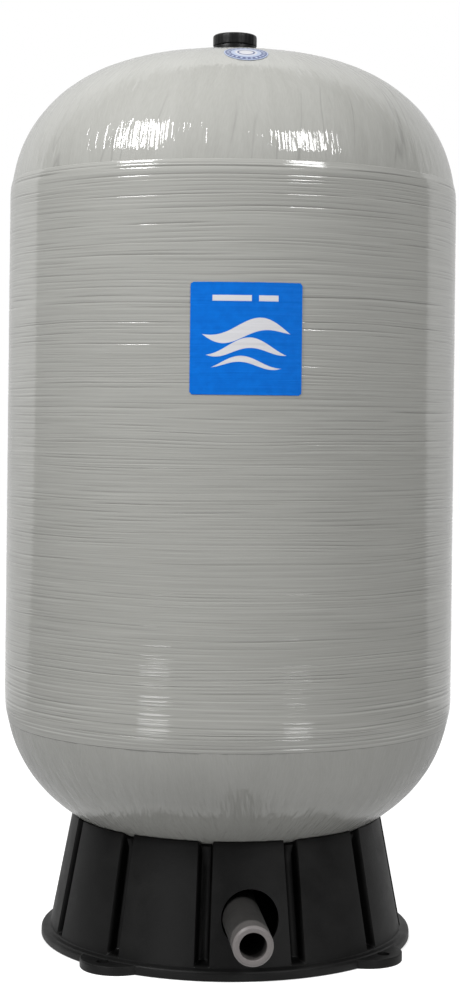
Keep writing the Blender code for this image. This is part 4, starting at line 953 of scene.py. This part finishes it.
def new_group(name, inputs, outputs):
    """An empty group with a place, one number and some outputs; returns it and its ends."""
    group = bpy.data.node_groups.new(name, "ShaderNodeTree")
    for label, start in inputs.items():
        kind = "NodeSocketVector" if start is None else "NodeSocketFloat"
        socket = group.interface.new_socket(label, in_out="INPUT", socket_type=kind)
        if start is not None:
            socket.default_value = start
    for label in outputs:
        group.interface.new_socket(label, in_out="OUTPUT", socket_type="NodeSocketFloat")
    ends = [Flow(output) for output in group.nodes.new("NodeGroupInput").outputs]
    return group, ends[:len(inputs)], group.nodes.new("NodeGroupOutput")


def use(group, **values):
    """Place a group and feed it; returns its outputs by name."""
    made = node("ShaderNodeGroup", values, node_tree=group).socket.node
    return {output.name: Flow(output) for output in made.outputs}


def new_material(name, **constants):
    """A material with a Principled shader and its constants; returns it, tree and shader."""
    material = bpy.data.materials.new(name)
    material.use_nodes = True
    shader = material.node_tree.nodes["Principled BSDF"]
    fill(shader, **constants)
    return material, material.node_tree, shader


def dress(material, *pieces):
    """Give pieces a material, CAD nodes in all their slots."""
    for piece in pieces:
        if isinstance(piece, str):
            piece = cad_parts[piece]
        if not piece.material_slots:
            piece.data.materials.append(material)
        for place_for_one in piece.material_slots:
            place_for_one.material = material


# %% [markdown]
# ## Shared effects
# Moulded plastic is never mirror smooth: its tool leaves a fine grain, and handling leaves a
# little dust that dulls it. Wound resin shows strands: long ridges along the lay, each made of
# finer threads. Both effects are groups, so every material uses the same one at its own scale.

# %% Grain and dust group, and strand group
grain_group, (spot, grain), ends = new_group("moulded_grain", {"Place": None, "Grain": 900.0},
                                             ("Height", "Dust", "Mottle"))
blotch = noise(spot, 38.0, 4.0, 0.65, 0.4)
fill(ends, Height=noise(spot, grain, 3.0, 0.6), Mottle=blotch,
     Dust=remap(noise(spot, 9.0, 3.0, 0.6) * blotch, 0.2, 0.5))

THREADS_PER_STRAND = 3.4
strand_group, (lay, fineness), ends = new_group("strand_relief", {"Lay": None, "Strands": 50.0},
                                                ("Height", "Tint"))
threads = noise(lay, fineness * THREADS_PER_STRAND, 2.0, 0.5)
fill(ends, Height=threads * 0.15 + noise(lay, fineness, 1.0, 0.5) * 0.80,
     Tint=remap(threads, 0.3, 0.7))

# %% [markdown]
# ## Grey resin
# The colour is a warm light grey in the resin itself, under a clear gloss. The gloss is the
# Principled shader's coat, so the body below can stay a little rough. On the domes the relief
# comes from two families of strands that take turns to lie on top, and the coat is combed from
# pole to pole, which breaks a lamp's reflection into upright streaks; painted shade darkens the
# lower dome's colour. On the hoops the relief runs round the tank, finer than the ridges of the
# mesh, the values stored on the mesh give painted shade in the grooves and painted highlights on
# the crests, and painted shade darkens the hoops towards the bottom of the band.

# %% Resin on the domes
RESIN_DARK, RESIN_LIGHT, HOOP_DARK = grey(0.355, 0.935), grey(0.405, 0.945), grey(0.325, 0.935)
# Painted shade for the hoops' grooves and the lower dome, also the dark tone of the dome's loose
# strands; painted highlight for the hoops' crests.
PAINTED_SHADE_AND_LOOSE_STRAND_TONE, PAINTED_CREST_HIGHLIGHT_TONE = grey(0.160, 0.93), grey(0.540, 0.95)
GLOSS = {"Roughness": 0.55, "Specular_IOR_Level": 0.15, "Coat_Weight": 0.85, "Coat_IOR": 1.5}
STRANDS, COMB_LINES = 46.0, 105.0
RELIEF_DEPTH, COAT_RELIEF_DEPTH, COMB_DEPTH = 0.00022, 0.00050, 0.00036
dome_resin, tree, shader = new_material("dome_resin", Coat_Roughness=0.015, **GLOSS)
spot = object_place(tree)
z = parts(spot)[2]
right, left, steep = (stored(tree, "lay_" + way) for way in ("right", "left", "steep"))
first, second = (use(strand_group, Lay=lay, Strands=STRANDS) for lay in (right, left))
over = remap(noise(spot, 16.0, 2.0, 0.6), 0.46, 0.54, smooth=True)


def crossed(output):
    """One of the group's outputs, from whichever family of strands lies on top."""
    return first[output] * over + second[output] * (1.0 - over)


tone = remap(crossed("Tint"), 0.1, 0.9, 0.05, 0.50)
tone += remap(noise(steep, 12.0, 3.0, 0.6), 0.35, 0.65, 0.0, 0.45)
beside = calc("ABSOLUTE", noise(right, 7.0, 1.0) - 0.5)
loose = remap(beside, 0.0, 0.018, 0.34, 0.0) * remap(noise(spot, 11.0), 0.48, 0.60)
loose *= remap(z, 0.30, 0.50)
# Painted shade: below 0.30 m the dome is pulled 30% of the way to the dark tone, fading out by
# 0.40 m, and only 9% below 0.13 m.
lower_dome_shade = remap(z, 0.30, 0.40, 0.30, 0.0) * remap(z, 0.130, 0.150, 0.30, 1.0)
resin = mix(lower_dome_shade, mix(tone, RESIN_DARK, RESIN_LIGHT), PAINTED_SHADE_AND_LOOSE_STRAND_TONE)
coat_height = crossed("Height") * remap(z, 0.30, 0.40, 2.4, 1.0)
fill(shader, Base_Color=mix(loose, resin, PAINTED_SHADE_AND_LOOSE_STRAND_TONE),
     Normal=bump(crossed("Height"), RELIEF_DEPTH),
     Coat_Normal=bump(noise(steep, COMB_LINES, 0.0), COMB_DEPTH,
                      bump(coat_height, COAT_RELIEF_DEPTH)))
dress(dome_resin, helical_shell)

# %% Resin on the hoops
hoop_resin, tree, shader = new_material("hoop_resin", Coat_Roughness=0.055, **GLOSS)
spot = object_place(tree)
lines = use(strand_group, Lay=stretch(spot, (4.0, 4.0, 620.0)), Strands=1.0)
tone = noise(stretch(spot, (9.0, 9.0, 60.0)), 1.0, 3.0, 0.6) * 0.45 + lines["Tint"] * 0.55
# Painted shade: below 0.50 m the hoops' tone falls towards the dark grey, most at the bottom of
# the band.
tone -= remap(parts(spot)[2], 0.22, 0.50, 0.36, 0.0)
resin = mix(remap(tone, 0.0, 0.8), HOOP_DARK, RESIN_LIGHT)
# Painted shade along the valleys and painted highlights on the crests, from the values stored on
# the mesh.
groove, raised, _ = parts(stored(tree, "valley_shade_and_crest_highlight"))
resin = mix(remap(raised, 0.0, 1.0, 0.0, 0.9), resin, PAINTED_CREST_HIGHLIGHT_TONE)
normal = bump(lines["Height"], RELIEF_DEPTH)
fill(shader, Base_Color=mix(remap(groove, 0.05, 1.0, 0.0, 0.8), resin, PAINTED_SHADE_AND_LOOSE_STRAND_TONE),
     Normal=normal, Coat_Normal=normal)
dress(hoop_resin, hoop_winding)

# %% [markdown]
# ## Black and grey plastics
# The foot, collar and cover are moulded black plastic: nearly black, satin, with a fine grain
# and a breath of dust, and painted shade makes the foot's channels darker still. The pipe is
# grey, darkened with painted shade along its shaft, with a lighter band round its end as painted
# light and a paler saw-cut face, partly from the cut and partly as painted light.

# %% Moulded plastics
# Painted shade for the foot's channels.
PAINTED_CHANNEL_SHADE = grey(0.0008)
# Painted light for the pipe's end band, and for its saw-cut face on top of the cut's own paler
# grey.
PAINTED_LIT_END_TONE, SAWN_AND_LIT_FACE_TONE = (0.098, 0.092, 0.089, 1.0), (0.170, 0.157, 0.154, 1.0)


def channel_shadow(spot, colour):
    """Painted shade in the foot's channels, darker by how far a point lies inside the tapered
    wall.
    """
    x, y, z = parts(spot)
    away = (x ** 2.0 + (y - AXIS_Y) ** 2.0) ** 0.5
    wall = z * -WALL_TAPER + WALL_FOOT_RADIUS
    return mix(remap(wall - away, 0.0008, 0.0040), colour, PAINTED_CHANNEL_SHADE)


def pipe_end(spot, colour):
    """Painted light near the pipe's end: a lighter band with a ragged edge, out of the painted
    shade of the shaft, and the saw-cut face, paler partly from the cut and partly as painted
    light.
    """
    y = parts(spot)[1]
    ragged = remap(noise(spot, 420.0, 3.0, 0.6), 0.3, 0.7, -0.0014, 0.0014)
    lit_end_band = remap(y + ragged, pipe_tip + 0.0175, pipe_tip + 0.0195, 0.85, 0.0)
    sawn_and_lit_face = remap(y, pipe_tip + 0.0019, pipe_tip + 0.0024, 1.0, 0.0)
    return mix(sawn_and_lit_face, mix(lit_end_band, colour, PAINTED_LIT_END_TONE), SAWN_AND_LIT_FACE_TONE)


def plastic(name, colour, dusty, roughness, grain, depth, dust, gloss=0.5, painted_shade_and_light=None):
    """A moulded plastic: grain in its normal, dust and mottle in colour and roughness, and painted
    shade and light from a function when one is given.
    """
    material, tree, shader = new_material(name, Specular_IOR_Level=gloss)
    spot = object_place(tree)
    effect = use(grain_group, Place=spot, Grain=grain)
    colour = mix(effect["Dust"] * dust, colour, dusty)
    fill(shader, Base_Color=painted_shade_and_light(spot, colour) if painted_shade_and_light else colour,
         Roughness=remap(effect["Mottle"], 0.3, 0.7, roughness - 0.05, roughness + 0.07),
         Normal=bump(effect["Height"], depth))
    return material


dress(plastic("black_moulding", grey(0.0064), grey(0.021, 0.97), 0.45, 700.0, 0.00010, 0.35,
              0.15, channel_shadow), base_moulding)
dress(plastic("black_fitting", grey(0.0045), grey(0.026, 0.97), 0.40, 1600.0, 0.00004, 0.25,
              0.30), cover_cap, crown_collar, threaded_shank, knurled_cap)
# The pipe's dark grey is partly its own colour and partly painted shade for its shaft in the
# foot's hole; pipe_end paints its end lighter.
dress(plastic("grey_pipe", (0.027, 0.026, 0.025, 1.0), (0.042, 0.041, 0.039, 1.0), 0.45,
              1400.0, 0.00004, 0.5, 0.35, pipe_end),
      outlet_tube, elbow_bend, "port_fitting", "port_nut")
dress(plastic("white_moulding", grey(0.66), grey(0.55, 0.95), 0.5, 900.0, 0.00005, 0.4),
      "clench_ring", "inlet_diffuser", "core_barrel_seal")
dress(plastic("liner_moulding", grey(0.74, 0.96), grey(0.62, 0.92), 0.45, 500.0, 0.00006, 0.4),
      "upper_liner", "lower_liner")
dress(plastic("dark_rubber", grey(0.016), grey(0.06), 0.7, 1100.0, 0.00006, 0.5),
      "diaphragm", "port_o_ring", "air_fitting_o_ring", "valve_cover_seal",
      "valve_stem_o_ring", "valve_cap_seal", "core_cup_seal")

# %% Metals


def metal(name, colour, worn, roughness):
    """A turned metal: fine rings across its axis and a slightly worn tint."""
    material, tree, shader = new_material(name, Metallic=1.0)
    spot = object_place(tree)
    tarnish = noise(spot, 260.0, 3.0, 0.6)
    fill(shader, Base_Color=mix(remap(tarnish, 0.4, 0.7), colour, worn),
         Roughness=remap(tarnish, 0.3, 0.7, roughness, roughness + 0.15),
         Normal=bump(noise(stretch(spot, (40.0, 40.0, 9000.0)), 1.0, 2.0), 0.00001))
    return material


dress(metal("turned_brass", (0.78, 0.58, 0.25, 1.0), (0.55, 0.38, 0.17, 1.0), 0.22),
      threaded_stem, "core_barrel", "core_pin")
dress(metal("spring_wire", grey(0.55), grey(0.40), 0.25), coil_spring)

# %% [markdown]
# ## Printed films
# The front label is a blue film with a plain design of its own: three pale ribbons that wave
# across it under two short bars. The disc on the dome has a blue border with even dashes round
# a pale middle. Both are drawn from each point's place on the flat sheet, in metres.

# %% Front film
BLUE, BLUE_LIGHT = (0.0015, 0.142, 0.620, 1.0), (0.0020, 0.162, 0.680, 1.0)
film_blue, tree, shader = new_material(
    "film_blue", Roughness=0.42, Coat_Weight=0.08, Coat_Roughness=0.08, Specular_IOR_Level=0.12)
across, upward, _ = parts(stored(tree, "sheet"))


def ribbon(level, swing, length, phase, half_width, spread):
    """Mask of a wave y = level + swing sin(2 pi x / length + phase) that tapers to its ends."""
    line = calc("SINE", across * (TURN / length) + phase) * swing + level
    ends = calc("SUBTRACT", 1.0, (across / spread) ** 2.0, clamp=True)
    return remap(ends * half_width - calc("ABSOLUTE", upward - line), 0.0001, 0.0005)


def bar(x, y, half_width, half_height):
    """Mask of a plain upright rectangle."""
    dx = half_width - calc("ABSOLUTE", across - x)
    dy = half_height - calc("ABSOLUTE", upward - y)
    return remap(calc("MINIMUM", dx, dy), -0.0002, 0.0002)


print_mask = ribbon(0.0060, 0.0060, 0.074, 0.4, 0.0062, 0.037)
for other in (ribbon(-0.0085, 0.0052, 0.066, 1.3, 0.0046, 0.034),
              ribbon(-0.0205, 0.0040, 0.060, 2.1, 0.0028, 0.030),
              bar(-0.0120, 0.0330, 0.0160, 0.0024), bar(0.0180, 0.0330, 0.0080, 0.0024)):
    print_mask = calc("MAXIMUM", print_mask, other)
spot = object_place(tree)
blue = mix(remap(noise(spot, 120.0, 3.0, 0.6), 0.35, 0.65), BLUE, BLUE_LIGHT)
fill(shader, Base_Color=mix(print_mask, blue, grey(0.68, 1.04)),
     Normal=bump(noise(stretch(spot, (8.0, 8.0, 300.0)), 1.0, 2.0), 0.0003))
dress(film_blue, front_film)

# %% Crown film
PRINT_BLUE, HALO_BLUE = (0.070, 0.095, 0.21, 1.0), (0.36, 0.42, 0.56, 1.0)
DASHES = 22.0
film_pale, tree, shader = new_material(
    "film_pale", Roughness=0.42, Coat_Weight=0.3, Coat_Roughness=0.10, Specular_IOR_Level=0.3)
across, upward, _ = parts(stored(tree, "sheet"))
reach = (across ** 2.0 + upward ** 2.0) ** 0.5


def ring(inner, outer, soft, outer_soft):
    """Mask of a ring between two radii, each with the width of its soft edge."""
    return remap(reach, inner, inner + soft) * remap(reach, outer - outer_soft, outer, 1.0, 0.0)


dashes = remap(calc("SINE", calc("ARCTAN2", upward, across) * DASHES), 0.1, 0.4)
dashes *= ring(0.0142, 0.0167, 0.0003, 0.0003)
border = calc("SUBTRACT", ring(0.0128, 0.0182, 0.0006, 0.0004), dashes, clamp=True)
ring_mask = calc("MAXIMUM", border, ring(0.0060, 0.0079, 0.0003, 0.0003))
paper = noise(object_place(tree), 400.0, 3.0)
pale = mix(remap(reach, 0.0088, 0.0104), mix(paper, grey(0.52, 1.06), grey(0.58, 1.06)), HALO_BLUE)
fill(shader, Base_Color=mix(ring_mask, pale, PRINT_BLUE), Normal=bump(paper, 0.00004))
dress(film_pale, crown_film)

# %% [markdown]
# ## Studio
# The photograph is a cut-out on white: two soft lamps above the camera, one on each side, make
# the broken patches on the upper dome, and two small low ones the soft glints near the band's
# foot. A white wall and a pale far floor show only to mirrored rays that look past the tank,
# at the very edges of the glossy shell. The floor is pale and keeps a soft shadow.

# %% Camera
CAMERA_TURN = math.radians(-5.5)
CAMERA_DISTANCE, CAMERA_Z, CAMERA_ROLL = 1.8147, 0.4713, 0.0112
FRAME_HEIGHT, FOCAL_PIXELS, SHIFT_PIXELS, SENSOR = 995.0, 1979.0, (-0.8, -81.5), 36.0
cos_turn, sin_turn = math.cos(CAMERA_TURN), math.sin(CAMERA_TURN)
camera_data = bpy.data.cameras.new("camera")
camera_data.sensor_width = SENSOR
camera_data.lens = FOCAL_PIXELS / FRAME_HEIGHT * SENSOR
camera_data.shift_x, camera_data.shift_y = (pixels / FRAME_HEIGHT for pixels in SHIFT_PIXELS)
camera = put("camera", camera_data)
camera.location = (CAMERA_DISTANCE * sin_turn, AXIS_Y - CAMERA_DISTANCE * cos_turn, CAMERA_Z)
camera.rotation_mode = "QUATERNION"
level_view = Matrix.Rotation(CAMERA_TURN, 3, "Z") @ Matrix.Rotation(math.pi / 2, 3, "X")
camera.rotation_quaternion = (level_view @ Matrix.Rotation(CAMERA_ROLL, 3, "Z")).to_quaternion()
bpy.context.scene.camera = camera
print("camera at", [round(value, 3) for value in camera.location])

# %% Lamps


def softbox(name, azimuth, elevation, distance, size, power, aim, shape="RECTANGLE"):
    """A flat lamp that looks at a spot on the tank from an azimuth and an elevation."""
    lamp = bpy.data.lights.new(name, "AREA")
    lamp.shape, lamp.size, lamp.size_y, lamp.energy = shape, size[0], size[1], power
    turn, lift = math.radians(azimuth), math.radians(elevation)
    away = Vector((math.sin(turn) * math.cos(lift), -math.cos(turn) * math.cos(lift),
                   math.sin(lift)))
    holder = put(name, lamp)
    holder.location = Vector(aim) + away * distance
    holder.rotation_mode = "QUATERNION"
    holder.rotation_quaternion = away.to_track_quat("Z", "Y")


softbox("lamp_left", -62.5, 39.6, 1.65, (0.50, 0.60), 28.0, (-0.093, -0.161, 0.703))
softbox("lamp_right", 35.6, 36.8, 2.15, (0.62, 0.56), 25.5, (0.044, -0.181, 0.698))
softbox("lamp_low", -43.5, -20.0, 0.50, (0.17, 0.125), 0.35, (-0.080, -0.173, 0.246), "ELLIPSE")
softbox("lamp_low_right", 29.5, -21.5, 0.50, (0.15, 0.110), 0.25, (0.043, -0.178, 0.234),
        "ELLIPSE")

# %% Floor
FLOOR_SIZE, FLOOR_Z = 8.0, -0.0002
GLOW = grey(0.90)


def along_view(vector):
    """How far a vector reaches the way the camera looks, level with the floor."""
    return node("ShaderNodeVectorMath", {0: vector, 1: (-sin_turn, cos_turn, 0.0)}, "Value",
                operation="DOT_PRODUCT")


def ray(tree, kind):
    """1 for rays of a kind, 0 for others."""
    return node("ShaderNodeLightPath", {}, f"Is {kind} Ray", tree)


def seen_directly(tree):
    """1 for the camera's own rays, also through clear things."""
    return calc("ADD", ray(tree, "Camera"), ray(tree, "Transmission"), clamp=True)


corners = np.array([(-1, -1), (1, -1), (1, 1), (-1, 1)]) * FLOOR_SIZE
floor_mesh = bpy.data.meshes.new("floor")
floor_mesh.from_pydata([(x, y, FLOOR_Z) for x, y in corners.tolist()], [], [(0, 1, 2, 3)])
floor = put("floor", floor_mesh)
floor_finish = bpy.data.materials.new("floor_finish")
floor_finish.use_nodes = True
tree = floor_finish.node_tree
tree.nodes.clear()
spot = object_place(tree)
away = node("ShaderNodeVectorMath", {0: spot, 1: (0.0, AXIS_Y, 0.0)}, "Value",
            operation="DISTANCE")
tone = mix(remap(away, 0.25, 0.50, smooth=True), grey(0.45), grey(0.28))
matt = node("ShaderNodeBsdfDiffuse", {"Color": tone})
glow = node("ShaderNodeEmission", {"Color": GLOW}, tree=tree)
beyond = along_view(spot) / away
near_sheet = remap(beyond, -0.7, 0.2, 0.72, 0.38) * remap(away, 0.80, 1.30, 1.0, 0.0, smooth=True)
far_sheet = remap(beyond, 0.44, 0.48, 0.0, 0.72) * remap(away, 0.90, 1.40, smooth=True)
mirrored = ray(tree, "Glossy") * (near_sheet + far_sheet)
seen = calc("ADD", mirrored, seen_directly(tree), clamp=True)
outside_foot = remap(away, 0.160, 0.172, smooth=True)
finish = node("ShaderNodeMixShader", {0: seen * outside_foot, 1: matt,
                                      2: node("ShaderNodeAddShader", {0: matt, 1: glow})})
feed(finish, tree.nodes.new("ShaderNodeOutputMaterial").inputs[0])
floor_mesh.materials.append(floor_finish)

# %% Surroundings
world = bpy.data.worlds.new("studio")
bpy.context.scene.world = world
world.use_nodes = True
tree = world.node_tree
tree.nodes.clear()
everywhere = node("ShaderNodeTexCoord", {}, "Generated", tree)
x, _, z = parts(everywhere)
soft = remap(z, -0.2, 0.9, 0.10, 0.62) * remap(x, -1.0, 1.0, 0.86, 1.02)
ahead = along_view(everywhere)
wall_tone = mix(remap(ahead, 0.48, 0.85), grey(1.15), grey(0.70))
mirrored = mix(remap(ahead, 0.45, 0.48), grey(0.11), wall_tone)
lit = mix(ray(tree, "Glossy"), mix(1.0, grey(1.0), soft), mirrored)
sky = node("ShaderNodeBackground", {"Color": mix(seen_directly(tree), lit, grey(1.0))})
feed(sky, tree.nodes.new("ShaderNodeOutputWorld").inputs[0])
bpy.context.scene.view_settings.view_transform = "Standard"
